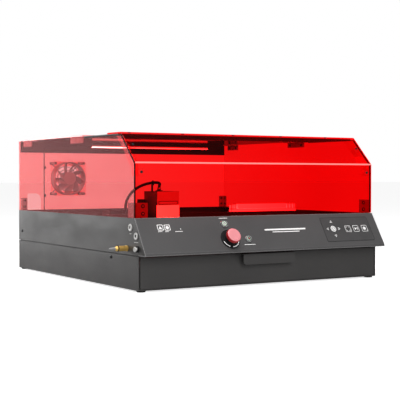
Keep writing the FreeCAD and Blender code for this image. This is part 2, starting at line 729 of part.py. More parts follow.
def light_strip():
    """A dark rail across the rear wall's top, with a lit strip on it and its wire down to the base."""
    rail_y = REAR - ACRYLIC - STEEL
    rail_z = PLATE_TOP - 25
    node(box("rear_rail", (LEFT + ACRYLIC, rail_y, rail_z), (RIGHT - ACRYLIC, rail_y + STEEL, PLATE_TOP)))
    strip_z = PLATE_TOP - 11
    left_end = LEFT + 183
    node(box("light_strip", (left_end, rail_y - 3, strip_z), (LEFT + 508, rail_y, strip_z + 5)))
    y = rail_y - 1.5
    z = strip_z + 2.5
    drop_x = LEFT + 60
    wire_radius = 1.1
    route = [(left_end, y, z), (drop_x, y, z), (drop_x, y, RIM + 0.1)]
    wire = bent_tube("light_wire_tube", route, [14], wire_radius)
    clips = []
    for x in (LEFT + 150, LEFT + 105):
        clips.append(box(f"wire_clip_{len(clips) + 1}", (x, rail_y - 3.4, z + wire_radius),
                         (x + 6, rail_y, z + 3)))
    for height in (RIM + 30, RIM + 95):
        x = drop_x + wire_radius
        clips.append(box(f"wire_clip_{len(clips) + 1}", (x, y - 1.5, height),
                         (x + 3, REAR - ACRYLIC, height + 6)))
    node(group("light_wire", [wire] + clips))


def bent_tube(name, points, radii, radius):
    """A round tube along straight runs joined by tangent arcs; prints its length and bend radii."""
    corners = [Vector(*(dim(c).value for c in point)) for point in points]
    edges = []
    start = corners[0]
    length = 0.0
    for index, bend in enumerate(radii, start=1):
        corner = corners[index]
        into = (corner - corners[index - 1]).normalize()
        out = (corners[index + 1] - corner).normalize()
        turn = into.getAngle(out)
        setback = bend * math.tan(turn / 2)
        first = corner - into * setback
        last = corner + out * setback
        centre_way = (out - into).normalize()
        middle = corner + centre_way * (bend / math.cos(turn / 2) - bend)
        if (first - start).Length > 1e-6:
            edges.append(Part.LineSegment(start, first).toShape())
        edges.append(Part.Arc(first, middle, last).toShape())
        length += (first - start).Length + bend * turn
        start = last
    edges.append(Part.LineSegment(start, corners[-1]).toShape())
    length += (corners[-1] - start).Length
    path = Part.Wire(edges)
    way = (corners[1] - corners[0]).normalize()
    section = Part.Wire([Part.makeCircle(radius, corners[0], way)])
    tube = doc.addObject("Part::Feature", name)
    tube.Shape = path.makePipeShell([section], True, False)
    expected = math.pi * radius ** 2 * length
    print(f"{name}: length {length:.1f}, radii {[round(r, 1) for r in radii]}, "
          f"volume ratio {tube.Shape.Volume / expected:.4f}")
    return tube


def free_bends(points, share=0.45):
    """The largest tangent arcs that a route's runs allow."""
    corners = [Vector(*(dim(c).value for c in point)) for point in points]
    radii = []
    for before, corner, after in zip(corners, corners[1:], corners[2:]):
        turn = (corner - before).getAngle(after - corner)
        shorter = min((corner - before).Length, (after - corner).Length)
        radii.append(share * shorter / math.tan(turn / 2))
    return radii


# ---------------------------------------------------------------------------------------------------------
# Lid and its hinges
# ---------------------------------------------------------------------------------------------------------

def lid():
    """A sheet bent twice, a dark top plate that it is fixed to, and side gussets with clips."""
    lift = 0.6
    inner_y, inner_fold, inner_top = lid_line(ACRYLIC, PLATE_TOP)
    outline = [
        (LID_FRONT, RIM + lift), (LID_FRONT, FOLD), (TOP_FRONT, HOOD_TOP), (TOP_FRONT + 58, HOOD_TOP),
        (TOP_FRONT + 58, PLATE_TOP), (inner_top, PLATE_TOP), (inner_y, inner_fold), (inner_y, RIM + lift),
    ]
    window = prism("lid_window", "YZ", outline, LEFT, RIGHT)
    outer_folds = ((LID_FRONT.value, FOLD.value), (TOP_FRONT.value, HOOD_TOP.value))
    inner_folds = ((inner_y.value, inner_fold.value), (inner_top.value, PLATE_TOP.value))

    def at_fold(folds):
        def chosen(p, d):
            return runs_along(d, X_AXIS) and any(math.hypot(p.y - y, p.z - z) < 0.1 for y, z in folds)
        return chosen

    rounded(window, 4.5, at_fold(outer_folds))
    rounded(window, 1.5, at_fold(inner_folds))
    node(window)

    plate_front = FRONT + 82
    node(box("lid_top_plate", (LEFT, plate_front, PLATE_BASE), (RIGHT, PLATE_REAR, PLATE_TOP)))

    width = 20
    top = PLATE_BASE - SEAL_GAP
    y0, fold0, top0 = lid_line(ACRYLIC + SEAL_GAP, top)
    y1, fold1, top1 = lid_line(ACRYLIC + SEAL_GAP + width, top)
    low = FOLD - 25
    outline = [(y0, low), (y0, fold0), (top0, top), (top1, top), (y1, fold1), (y1, low)]
    x = LEFT + ACRYLIC + 2
    left = prism("gusset_left", "YZ", outline, x, x + ACRYLIC)
    gussets = [left, mirrored("gusset_right", left)]

    clips = []
    screws = []
    turn = Rotation(Vector(1, 0, 0), 45)
    slope_y = LID_FRONT.value + 29
    slope_z = FOLD.value + 29
    for side in (-1, 1):
        low_x = (x + ACRYLIC).value if side < 0 else -(x + ACRYLIC).value - 11
        mid_x = low_x + 5.5
        clips.append(box(f"lid_clip_{len(clips) + 1}", (low_x, LID_FRONT + ACRYLIC, FOLD - 24),
                         (low_x + 11, LID_FRONT + ACRYLIC + 9, FOLD - 11)))
        screw_at = (mid_x, LID_FRONT, FOLD - 17.5)
        screws.append(cylinder(f"lid_screw_{len(screws) + 1}", screw_at, 2.6, 1.4, "-y"))
        block = doc.addObject("Part::Box", f"lid_clip_{len(clips) + 1}")
        block.Length, block.Width, block.Height = 11, 13, 9
        depth = ACRYLIC.value + 9
        shift = Vector(0, depth * math.sin(math.pi / 4), -depth * math.cos(math.pi / 4))
        start = Vector(low_x, slope_y, slope_z) + shift
        place(block, (start.x, start.y, start.z), turn)
        clips.append(block)
        middle = Vector(mid_x, slope_y, slope_z) + Vector(0, 6.5, 6.5) * math.sqrt(0.5)
        screws.append(cylinder(f"lid_screw_{len(screws) + 1}", tuple(middle), 2.6, 1.4, turn))
    for x_screw in (-240, -120, 0, 120, 240):
        screws.append(cylinder(f"lid_screw_{len(screws) + 1}", (x_screw, TOP_FRONT + 46, HOOD_TOP), 3, 1.4))
    node(group("lid_gussets", gussets + clips))
    node(group("lid_screws", screws))

    bumpers = []
    for x_bumper in (LEFT + 13.4, RIGHT - 13.4):
        bumpers.append(cylinder(f"bumper_{len(bumpers) + 1}", (x_bumper, LID_FRONT + 1.9, RIM), 2.3, 0.45))
    return bumpers


HINGES_AT = (-246.0, 0.0, 246.0)
HINGE_HALF = 15
KNUCKLE = 3.0
KNUCKLE_GAP = 0.3
LEAF = 1.5
PIN = 1.5
PIN_BORE = 1.56


def hinges():
    """Two-knuckle hinges: one leaf under the top panel, the other under the lid's top plate."""
    fixed = []
    moving = []
    pins = []
    for index, x in enumerate(HINGES_AT, start=1):
        wide = HINGE_HALF if x else 26

        def round_piece(label, start, radius, length):
            return cylinder(f"{label}_{index}", (x + start, HINGE_Y, HINGE_Z), radius, length, "+x")

        fixed_solid = fused(f"fixed_hinge_solid_{index}", [
            round_piece("fixed_knuckle", -wide, KNUCKLE, wide - KNUCKLE_GAP),
            box(f"fixed_arm_{index}", (x - wide, HINGE_Y, PLATE_TOP - LEAF),
                (x - KNUCKLE_GAP, TOP_PANEL_FRONT, PLATE_TOP)),
            box(f"fixed_leaf_{index}", (x - wide, TOP_PANEL_FRONT, PLATE_TOP - LEAF),
                (x + wide, TOP_PANEL_FRONT + 30, PLATE_TOP)),
        ])
        fixed_bore = round_piece("fixed_bore", -wide - 1, PIN_BORE, 2 * wide)
        fixed.append(cut(f"fixed_hinge_{index}", fixed_solid, [fixed_bore]))
        moving_solid = fused(f"moving_hinge_solid_{index}", [
            round_piece("moving_knuckle", KNUCKLE_GAP, KNUCKLE, wide - KNUCKLE_GAP),
            box(f"moving_arm_{index}", (x + KNUCKLE_GAP, PLATE_REAR - 1, PLATE_BASE - LEAF),
                (x + wide, HINGE_Y, PLATE_BASE)),
            box(f"moving_leaf_{index}", (x - wide, PLATE_REAR - 28, PLATE_BASE - LEAF),
                (x + wide, PLATE_REAR, PLATE_BASE)),
        ])
        moving_bore = round_piece("moving_bore", -wide, PIN_BORE, 2 * wide + 1)
        moving.append(cut(f"moving_hinge_{index}", moving_solid, [moving_bore]))
        pins.append(round_piece("pin", -wide, PIN, 2 * wide))
    node(group("hinge_fixed_leaves", fixed))
    node(group("hinge_lid_leaves", moving))
    node(group("hinge_pins", pins))


# ---------------------------------------------------------------------------------------------------------
# Exhaust fan
# ---------------------------------------------------------------------------------------------------------

def fan_frame(name, at, size, depth, bore, axis, strut):
    """A square frame with a round duct, four corner holes and a hub held by four struts."""
    x, y, z = at
    half = size / 2
    if axis == "y":
        block = box(f"{name}_block", (x - half, y, z - half), (x + half, y + depth, z + half))
        spin = "+y"
    else:
        block = box(f"{name}_block", (x - half, y - half, z), (x + half, y + half, z + depth))
        spin = "+z"

    def shifted(a, b, c):
        """A point a and b across the frame and c along its axis."""
        return (x + a, y + c, z + b) if axis == "y" else (x + a, y + b, z + c)

    tools = [cylinder(f"{name}_duct", shifted(0, 0, -1), bore, depth + 2, spin)]
    large = size.value > 50
    reach = half - 4.25 if large else half - 4
    hole_radius = 2.1 if large else 1.6
    for a in (-reach, reach):
        for b in (-reach, reach):
            hole = cylinder(f"{name}_hole_{len(tools)}", shifted(a, b, -1), hole_radius, depth + 2, spin)
            tools.append(hole)
    frame = cut(f"{name}_square", block, tools)
    hub_radius = bore * 0.42
    back = depth - 2.5
    pieces = [frame, cylinder(f"{name}_hub", shifted(0, 0, back), hub_radius, 2.5, spin)]
    long = bore + 1
    for index, (a, b) in enumerate(((1, 0), (0, 1)), start=1):
        low = shifted(-long * a - strut * b, -long * b - strut * a, back)
        high = shifted(long * a + strut * b, long * b + strut * a, depth)
        pieces.append(box(f"{name}_strut_{index}", low, high))
    return fused(name, pieces)


def fan_rotor(name, at, hub, reach, depth, blades, axis, pitch):
    """A hub with pitched blades."""
    x, y, z = at
    spin = "+y" if axis == "y" else "+z"
    turn_axis = Y_AXIS if axis == "y" else Z_AXIS
    pieces = [cylinder(f"{name}_hub", at, hub, depth, spin)]
    thickness = 1.2
    centre = (Y_AXIS if axis == "y" else Z_AXIS) * (depth / 2)
    for index in range(blades):
        blade = doc.addObject("Part::Box", f"{name}_blade_{index + 1}")
        blade.Length = reach - hub + 2
        blade.Width = thickness if axis == "y" else depth * 1.12
        blade.Height = depth * 1.12 if axis == "y" else thickness
        lean = Rotation(X_AXIS, pitch)
        around = Rotation(turn_axis, 360.0 * index / blades)
        middle = Vector(0, blade.Width.Value / 2, blade.Height.Value / 2)
        offset = around.multVec(Vector(hub - 2, 0, 0) - lean.multVec(middle)) + centre
        blade.Placement = FreeCAD.Placement(Vector(0, 0, 0), around.multiply(lean))
        for letter, base, extra in zip("xyz", (x, y, z), offset):
            bind(blade, f".Placement.Base.{letter}", dim(base) + extra)
        pieces.append(blade)
    return fused(name, pieces)


EXHAUST_DEPTH = 25
EXHAUST_BORE = 37.5


def exhaust():
    size = named("exhaust_fan_size")
    x = -named("exhaust_offset")
    z = named("exhaust_height")
    y = REAR - ACRYLIC - EXHAUST_DEPTH
    frame = fan_frame("exhaust_square", (x, y, z), size, EXHAUST_DEPTH, EXHAUST_BORE, "y", 1.6)
    node(fan_rotor("exhaust_fan_rotor", (x, y + 2.5, z), 15.5, EXHAUST_BORE - 1.2, 17, 9, "y", 52))

    rings = []
    for radius in (12, 20, 28, 36):
        outer = cylinder(f"guard_outer_{radius}", (x, REAR, z), radius + 0.8, 2, "+y")
        inner = cylinder(f"guard_inner_{radius}", (x, REAR - 1, z), radius - 0.8, 4, "+y")
        rings.append(cut(f"guard_ring_{radius}", outer, [inner]))
    reach = 38.5
    for index, angle_deg in enumerate((45, 135), start=1):
        bar = doc.addObject("Part::Box", f"guard_bar_{index}")
        bar.Length = 2 * 53
        bar.Width = 2
        bar.Height = 2.4
        lean = Rotation(Y_AXIS, angle_deg)
        offset = lean.multVec(Vector(-53, 0, -1.2))
        place(bar, (x + offset.x, REAR, z + offset.z), lean)
        rings.append(bar)
    boss_reach = reach - 2.75
    for a in (-boss_reach, boss_reach):
        for b in (-boss_reach, boss_reach):
            rings.append(cylinder(f"guard_boss_{len(rings)}", (x + a, REAR, z + b), 3.6, 2.6, "+y"))
    node(group("exhaust_fan_frame", [frame, fused("exhaust_guard", rings)]))


# ---------------------------------------------------------------------------------------------------------
# Bed, rails and the Y drive
# ---------------------------------------------------------------------------------------------------------

BED_BASE = UPPER_BASE + STEEL
SIDES = ((-1, "left"), (1, "right"))


def bed():
    """A flat plate with two rows of long slots."""
    x_half = RIGHT - 12
    y0 = FRONT + 27
    y1 = REAR - 12
    body = prism("cutting_bed", "XY", [(-x_half, y0), (x_half, y0), (x_half, y1), (-x_half, y1)],
                 BED_BASE, BED_BASE + named("bed_thickness"))
    slots = new_sketch(body, "bed_slots", "XY")
    first = LEFT + 32
    middle = (y0 + y1) / 2
    for low, high in ((y0 + 18, middle - 6), (middle + 6, y1 - 18)):
        add_outline(slots, [(first, low), (first + 12, low), (first + 12, high), (first, high)])
    before = body.Shape.Volume
    pocket = body.newObject("PartDesign::Pocket", "bed_slot_pocket")
    pocket.Profile = slots
    pocket.Type = "ThroughAll"
    pocket.Reversed = True
    doc.recompute()
    if body.Shape.Volume > before - 1:
        raise ValueError("the bed's slots cut nothing")
    pattern = body.newObject("PartDesign::LinearPattern", "bed_slot_row")
    pattern.Originals = [pocket]
    pattern.Direction = (slots, ["H_Axis"])
    count = 26
    bind(pattern, "Length", named("bed_slot_pitch") * (count - 1))
    pattern.Occurrences = count
    body.Tip = pattern
    doc.recompute()
    node(body)


def slotted_profile(name, half, plane, centre, start, end):
    """A square extrusion with a groove in each side."""
    a, b = centre
    mouth = 3
    depth = 4.5
    corner = [(half, -mouth), (half - depth, -mouth), (half - depth, mouth), (half, mouth), (half, half),
              (mouth, half), (mouth, half - depth), (-mouth, half - depth), (-mouth, half)]
    points = [(half, -half)] + corner
    other = [(-x, -y) for x, y in points]
    ordered = points + other
    return prism(name, plane, [(a + p, b + q) for p, q in ordered], start, end)


def y_axis():
    """A rail, guide and belt on each side, driven by one shaft at the rear."""
    y0 = FRONT + 19
    y1 = REAR - STEEL
    half = (RAIL / 2).value
    rails = []
    for side, label in SIDES:
        x = RAIL_X * side
        centre = (x, RAIL_BASE + half)
        rails.append(slotted_profile(f"y_rail_{label}", half, "XZ", centre, y0, y1))
        rails.append(box(f"y_guide_{label}", (x - 4.5, y0 + 6, RAIL_BASE + RAIL),
                         (x + 4.5, y1 - 40, RAIL_BASE + RAIL + 6)))
    node(group("y_rails", rails))

    shaft_y = REAR - 26
    shaft_z = RAIL_BASE + 4
    pitch = named("belt_pitch_radius")
    ends = RAIL_X - 11
    pieces = [cylinder("drive_shaft_bar", (-ends, shaft_y, shaft_z), SHAFT_RADIUS, ends * 2, "+x")]
    for side in (-1, 1):
        x = BELT_X * side
        pieces.append(cylinder(f"drive_pulley_{side + 2}", (x - 4, shaft_y, shaft_z), pitch - 0.75, 8, "+x"))
        for offset in (-5, 4):
            pieces.append(cylinder(f"drive_rim_{side + 2}_{offset + 6}", (x + offset, shaft_y, shaft_z),
                                   pitch + 1.8, 1, "+x"))
    node(fused("y_drive_shaft", pieces))

    idlers_y = FRONT + 40
    belts = []
    idlers = []
    for side, label in SIDES:
        x = BELT_X * side
        wheel = cylinder(f"idler_wheel_{label}", (x - 4, idlers_y, shaft_z), pitch - 0.75, 8, "+x")
        bore = cylinder(f"idler_bore_{label}", (x - 5, idlers_y, shaft_z), 2.06, 10, "+x")
        idlers.append(cut(f"y_idler_{label}", wheel, [bore]))
        belts.append(belt(f"y_belt_{label}", x - 3, 6, (idlers_y, shaft_z), (shaft_y, shaft_z), "yz"))
    node(group("y_idlers", idlers))
    node(group("y_belts", belts))

    supports = []
    for side, label in SIDES:
        supports.append(cylinder(f"idler_axle_{label}", (RAIL_X * side - 10 * side, idlers_y, shaft_z), 2,
                                 RAIL_X - 10 - BELT_X + 6, "-x" if side > 0 else "+x"))
        x0 = BEARING_X * side if side > 0 else BEARING_X * side - BEARING_WIDTH
        block = box(f"bearing_block_{label}", (x0, shaft_y - 9, BED_BASE + 3),
                    (x0 + BEARING_WIDTH, REAR - STEEL, shaft_z + 9))
        hole = cylinder(f"bearing_hole_{label}", (x0 - 1, shaft_y, shaft_z), SHAFT_BORE,
                        BEARING_WIDTH + 2, "+x")
        supports.append(cut(f"bearing_{label}", block, [hole]))
    node(group("y_belt_supports", supports))

    motor_x = 60
    motor_half = 15.5
    motor_length = 34
    body_block = box("y_motor_block", (motor_x, shaft_y - motor_half, shaft_z - motor_half),
                     (motor_x + motor_length, shaft_y + motor_half, shaft_z + motor_half))
    bore = cylinder("y_motor_bore", (motor_x - 1, shaft_y, shaft_z), SHAFT_BORE, motor_length + 2, "+x")
    node(cut("y_motor", body_block, [bore]))


BELT_X = RAIL_X - 18
BELT_THICKNESS = 1.4
BEARING_X = 205.0
BEARING_WIDTH = 6
SHAFT_RADIUS = 2.5
SHAFT_BORE = 2.56


def belt(name, start, width, first, second, plane):
    """A toothed belt's loop round two equal pulleys, drawn as an outline with round ends."""
    inner = named("belt_pitch_radius").value - 0.45
    (a0, b0), (a1, b1) = [(dim(a), dim(b)) for a, b in (first, second)]
    direction = "+x" if plane == "yz" else "+z"

    def spot(a, b, shift=0.0):
        along = dim(start) + shift
        return (along, a, b) if plane == "yz" else (a, b, along)

    def loop(label, radius, low, extra):
        ends = [cylinder(f"{label}_end_{i}", spot(a, b, low), radius, width + extra, direction)
                for i, (a, b) in enumerate(((a0, b0), (a1, b1)), start=1)]
        corner_low = spot(a0, b0 - radius, low)
        corner_high = spot(a1, b1 + radius, dim(low) + width + extra)
        return fused(label, ends + [box(f"{label}_run", corner_low, corner_high)])

    outer = loop(f"{name}_outside", inner + BELT_THICKNESS, 0.0, 0.0)
    hollow = loop(f"{name}_inside", inner, -1.0, 2.0)
    return cut(name, outer, [hollow])


# ---------------------------------------------------------------------------------------------------------
# Gantry: beam, end plates, X drive and the light bar
# ---------------------------------------------------------------------------------------------------------

BLOCK_TOP = RAIL_BASE + RAIL + 10.3
PLATE_Z = BLOCK_TOP
BEAM_BASE = BEAM_TOP - RAIL
X_BELT_Z = RAIL_BASE + RAIL + 3.4
X_BELT_Y = BEAM_Y + 29.5
X_PULLEY = 226


def gantry():
    half = (RAIL / 2).value
    x_end = RAIL_X + 10
    beam = slotted_profile("beam_profile", half, "YZ", (BEAM_Y, BEAM_BASE + half), -x_end, x_end)

    blocks = []
    plates = []
    for side in (-1, 1):
        x = RAIL_X * side
        solid = box(f"y_block_solid_{side + 2}", (x - 10, BEAM_Y - 20, RAIL_BASE + RAIL + 1.5),
                    (x + 10, BEAM_Y + 20, BLOCK_TOP))
        channel = box(f"y_block_channel_{side + 2}", (x - 4.55, BEAM_Y - 21, RAIL_BASE + RAIL + 1),
                      (x + 4.55, BEAM_Y + 21, RAIL_BASE + RAIL + 6.1))
        blocks.append(cut(f"y_block_{side + 2}", solid, [channel]))
        inner_x = -RAIL_X + 37 if side < 0 else RAIL_X - 37
        low_x = x - 12 if side < 0 else inner_x
        high_x = inner_x if side < 0 else x + 12
        plates.append(box(f"end_plate_{side + 2}", (low_x, BEAM_Y - 20, PLATE_Z),
                          (high_x, BEAM_Y + 48, BEAM_BASE)))
    left_hole = cylinder("motor_shaft_hole", (-X_PULLEY, X_BELT_Y, PLATE_Z - 1), 4, 6)
    left = cut("gantry_plate_left", plates[0], [left_hole])
    clamps = []
    upper_run = RAIL_BASE + 4 + named("belt_pitch_radius") + 0.95
    for side in (-1, 1):
        x = BELT_X * side
        clamps.append(box(f"y_clamp_{side + 2}", (x - 4, BEAM_Y - 10, upper_run + 0.4),
                          (x + 4, BEAM_Y + 8, PLATE_Z)))
    axle = cylinder("x_idler_axle", (X_PULLEY, X_BELT_Y, X_BELT_Z - 5), 2, PLATE_Z - X_BELT_Z + 5)
    node(group("gantry_end_plates", [left, plates[1], axle] + blocks + clamps))

    front = BEAM_Y - half
    guide = box("x_guide", (-RAIL_X + 14, front - 6, BEAM_BASE + 5.5), (RAIL_X - 14, front, BEAM_BASE + 14.5))
    node(group("x_beam", [beam, guide]))

    motor_half = 17.5
    motor = box("x_motor_block", (-X_PULLEY - motor_half, X_BELT_Y - motor_half, BEAM_BASE),
                (-X_PULLEY + motor_half, X_BELT_Y + motor_half, BEAM_BASE + 27))
    shaft_bore = cylinder("x_motor_bore", (-X_PULLEY, X_BELT_Y, BEAM_BASE - 1), SHAFT_BORE, 14)
    node(cut("x_motor", motor, [shaft_bore]))

    pitch = named("belt_pitch_radius")
    drive = [
        cylinder("x_pulley_body", (-X_PULLEY, X_BELT_Y, X_BELT_Z - 4), pitch - 0.75, 7.6),
        cylinder("x_pulley_rim", (-X_PULLEY, X_BELT_Y, X_BELT_Z - 5), pitch + 1.8, 1),
        cylinder("x_pulley_shaft", (-X_PULLEY, X_BELT_Y, X_BELT_Z - 4), SHAFT_RADIUS, 20),
    ]
    node(fused("x_pulley", drive))
    wheel = cylinder("x_idler_body", (X_PULLEY, X_BELT_Y, X_BELT_Z - 4), pitch - 0.75, 7.2)
    bore = cylinder("x_idler_bore", (X_PULLEY, X_BELT_Y, X_BELT_Z - 6), 2.06, 12)
    node(cut("x_idler", wheel, [bore]))
    node(belt("x_belt", X_BELT_Z - 3, 6, (-X_PULLEY, X_BELT_Y), (X_PULLEY, X_BELT_Y), "xy"))


def light_bar():
    """A pale bar on a carrier above the beam: a cap and a collar at its left, three blocks at its right."""
    x0 = LEFT + 335
    x1 = LEFT + 462
    low = BEAM_TOP + 6.5
    high = low + 10
    y0 = BEAM_Y - 5
    y1 = BEAM_Y + 5
    body = box("light_bar_body", (x0, y0, low), (x1, y1, high))
    collar = box("light_bar_collar", (x0 - 8, y0, low), (x0 - 4.5, y1, high))
    blocks = []
    for index in range(3):
        x = x1 + 3.5 + index * 8
        blocks.append(box(f"light_bar_block_{index + 1}", (x, y0, low), (x + 5, y1, high)))
    carrier = fused("light_bar_carrier", [
        box("light_bar_base", (x0 - 17, y0 + 1, low - 2.5), (x1 + 26, y1 - 1, low)),
        box("light_bar_cap", (x0 - 17, y0, low - 2), (x0 - 9, y1, high - 1)),
        box("light_bar_post_1", (x0 + 6, y0 + 1, BEAM_TOP), (x0 + 14, y1 - 1, low - 1)),
        box("light_bar_post_2", (x1 - 14, y0 + 1, BEAM_TOP), (x1 - 6, y1 - 1, low - 1)),
    ])
    node(group("light_bar", [body, carrier, collar] + blocks))


# ---------------------------------------------------------------------------------------------------------
# Head carriage and laser module
# ---------------------------------------------------------------------------------------------------------

MODULE_FRONT = FRONT + 100
MODULE_REAR = MODULE_FRONT + named("module_depth")
MODULE_HALF = named("module_width") / 2
MODULE_TOP = named("module_top")
MODULE_BASE = named("module_base")
CARRIAGE_Y = MODULE_REAR + 3.5

# The ribbed cable leaves a gland on the carriage's bracket, is held by a clip, and enters the module's top.
GLAND_TOP = BEAM_TOP + 10
CABLE_ROUTE = [
    (LEFT + 61, FRONT + 169.5, GLAND_TOP), (LEFT + 61, FRONT + 169.5, 159), (LEFT + 67.5, FRONT + 169, 172.5),
    (LEFT + 78.5, FRONT + 168, 185), (LEFT + 93.5, FRONT + 165, 194), (LEFT + 109, FRONT + 159.5, 199),
    (LEFT + 121.5, FRONT + 150.5, 200.5), (LEFT + 121, FRONT + 136.8, 198.5),
    (LEFT + 115, FRONT + 128.8, 193.5), (LEFT + 114, FRONT + 128, MODULE_TOP + 4),
]
# The clip holds the middle of the run between these two points of the route.
CLIP_RUN = (5, 6)


def route_points(*chosen):
    """Points of the cable's route as vectors."""
    return [Vector(*(dim(c).value for c in CABLE_ROUTE[index])) for index in chosen]


def head_carriage():
    """The plate that runs along the beam, with its guide block, belt arm and cable clip."""
    y = CARRIAGE_Y
    front_of_beam = BEAM_Y - (RAIL / 2).value
    plate = box("carriage_sheet", (LEFT + 82, y, RAIL_BASE + RAIL + 1.5), (LEFT + 148, y + 4, 167))
    guide_z = BEAM_BASE + 10
    block = box("carriage_block", (MODULE_X - 15, y + 4, guide_z - 9.5),
                (MODULE_X + 15, front_of_beam - 0.5, guide_z + 9.5))
    channel = box("carriage_channel", (MODULE_X - 16, front_of_beam - 6.1, guide_z - 4.55),
                  (MODULE_X + 16, front_of_beam + 1, guide_z + 4.55))
    guide_block = cut("x_guide_block", block, [channel])
    run_y = X_BELT_Y - named("belt_pitch_radius") - 0.95
    arm = box("carriage_arm", (MODULE_X - 10, y + 3, RAIL_BASE + RAIL + 1.5),
              (MODULE_X + 10, run_y - 0.4, BEAM_BASE - 7.5))
    node(group("carriage_plate", [fused("carriage_body", [plate, arm]), guide_block]))
    before, after = route_points(*CLIP_RUN)
    middle = (before + after) / 2
    way = (after - before).normalize()
    along = Rotation(Z_AXIS, way)
    half = 1.5
    post = box("clip_post", (middle.x - half, y + 0.5, 167), (middle.x + half, y + 3.5, middle.z - 3.5))
    foot = box("clip_foot", (middle.x - half, middle.y - 1.5, middle.z - 5.2),
               (middle.x + half, y + 3.5, middle.z - 3.4))
    cradle = cylinder("clip_ring", tuple(middle - way * half), 4.6, 2 * half, along)
    hole = cylinder("clip_hole", tuple(middle - way * 4), 3.3, 8, along)
    clip = cut("cable_clip", fused("cable_clip_solid", [post, foot, cradle]), [hole])
    gland_x, gland_y, gland_z = CABLE_ROUTE[0]
    arm = box("gland_arm", (gland_x - 6, y + 4, BEAM_TOP + 2), (LEFT + 100, gland_y + 5.5, BEAM_TOP + 5))
    gland = cylinder("gland_body", (gland_x, gland_y, BEAM_TOP + 5), 5, 5)
    node(group("cable_holders", [clip, fused("cable_gland", [arm, gland])]))


def laser_module():
    """The module's finned block, its folded cover, the shield in front, the fan on top and the lens."""
    x0 = MODULE_X - MODULE_HALF
    x1 = MODULE_X + MODULE_HALF
    skin = 1.5
    middle_y = MODULE_FRONT + 26.5
    fan_depth = 10.5
    fan_z = MODULE_TOP - skin - fan_depth - 0.5
    core = box("module_core", (x0 + skin, MODULE_FRONT + skin, MODULE_BASE),
               (x1 - skin, MODULE_REAR, fan_z - 0.5))
    gaps = []
    for index in range(8):
        z = MODULE_BASE + 14 + index * 6
        for low, high in ((x0, x0 + 9), (x1 - 9, x1)):
            gaps.append(box(f"fin_gap_{len(gaps) + 1}", (low, MODULE_FRONT + 11, z),
                            (high, MODULE_REAR - 8, z + 3)))
    slide = box("focus_slide", (MODULE_X - 18, MODULE_REAR, MODULE_BASE + 8),
                (MODULE_X + 18, MODULE_REAR + 3, MODULE_TOP - 22))
    node(group("module_heatsink", [cut("finned_block", core, gaps), slide]))

    sides = []
    for label, low, high in (("left", x0, x0 + skin), ("right", x1 - skin, x1)):
        sides.append(box(f"cover_{label}", (low, MODULE_FRONT + skin, MODULE_BASE + 2),
                         (high, MODULE_REAR, MODULE_TOP)))
    top = box("cover_top", (x0, MODULE_FRONT + skin, MODULE_TOP - skin), (x1, MODULE_REAR, MODULE_TOP))
    front = box("cover_front", (x0, MODULE_FRONT, MODULE_TOP - 27), (x1, MODULE_FRONT + skin, MODULE_TOP))
    vents = []
    for index in range(6):
        x = MODULE_X - 17 + index * 6
        for low, high in ((MODULE_FRONT + 8, MODULE_FRONT + 19), (MODULE_FRONT + 37, MODULE_FRONT + 48)):
            vents.append(box(f"vent_{len(vents) + 1}", (x, low, MODULE_TOP - 3),
                             (x + 3, high, MODULE_TOP + 1)))
    cover = cut("folded_cover", fused("folded_sheet", sides + [top, front]), vents)
    last, end = route_points(-2, -1)
    socket = fused("cable_socket", [
        box("socket_block", (end.x - 5, end.y - 6, MODULE_TOP), (end.x + 5, end.y + 6, MODULE_TOP + 2)),
        cylinder("socket_neck", tuple(end), 3.6, 3, Rotation(Z_AXIS, end - last)),
    ])
    fan_at = (MODULE_X, middle_y, fan_z)
    fan = fan_frame("head_fan_frame", fan_at, named("head_fan_size"), fan_depth, 18.6, "z", 1.2)
    node(group("module_cover", [cover, socket, fan]))
    node(fan_rotor("head_fan_rotor", (MODULE_X, middle_y, fan_z + 0.8), 8.4, 17.6, 6.2, 7, "z", 38))

    shield_low = MODULE_BASE - 6
    shield_high = MODULE_TOP - 27
    outline = [(x0, shield_low), (x1, shield_low), (x1, shield_high), (x0, shield_high)]
    shield = prism("module_shield", "XZ", outline, MODULE_FRONT, MODULE_FRONT + skin)
    rounded(shield, 4, lambda p, d: runs_along(d, Y_AXIS) and p.z < shield_low.value + 1)
    node(shield)

    barrel = cylinder("lens_barrel", (MODULE_X, middle_y, MODULE_BASE), 11, 9, "-z")
    tip = cone("lens_tip", (MODULE_X, middle_y, MODULE_BASE - 9), 11, 7, 5, "-z")
    bore = cylinder("lens_bore", (MODULE_X, middle_y, MODULE_BASE - 4.5), 5, 12, "-z")
    node(cut("lens_nozzle", fused("lens_solid", [barrel, tip]), [bore]))


def laser_cable():
    tube = bent_tube("cable_tube", CABLE_ROUTE, free_bends(CABLE_ROUTE), named("cable_radius").value)
    node(tube, "laser_cable")


lower_box()
feet()
debris_drawer()
control_panel()
upper_housing()
panel_controls()
side_ports()
seals = [seam_gasket()] + hood_panels()
node(group("chassis_screws", housing_screws() + hood_brackets()))
light_strip()
node(group("foam_seals", seals + lid()))
hinges()
exhaust()
bed()
y_axis()
gantry()
light_bar()
head_carriage()
laser_module()
laser_cable()

doc.recompute()
for thing in doc.Objects:
    if "Invalid" in thing.State or "Error" in thing.State:
        raise ValueError(f"{thing.Label} failed: {thing.State}")
for piece in nodes:
    if piece.Shape.isNull() or not piece.Shape.isValid() or not piece.Shape.Solids:
        raise ValueError(f"{piece.Label} has no valid solid")

os.makedirs("parts", exist_ok=True)
for piece in nodes:
    piece.Shape.exportStep(f"parts/{piece.Label}.step")
print(f"{len(nodes)} parts written")
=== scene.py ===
import math

import bmesh
import bpy
from mathutils import Matrix, Vector


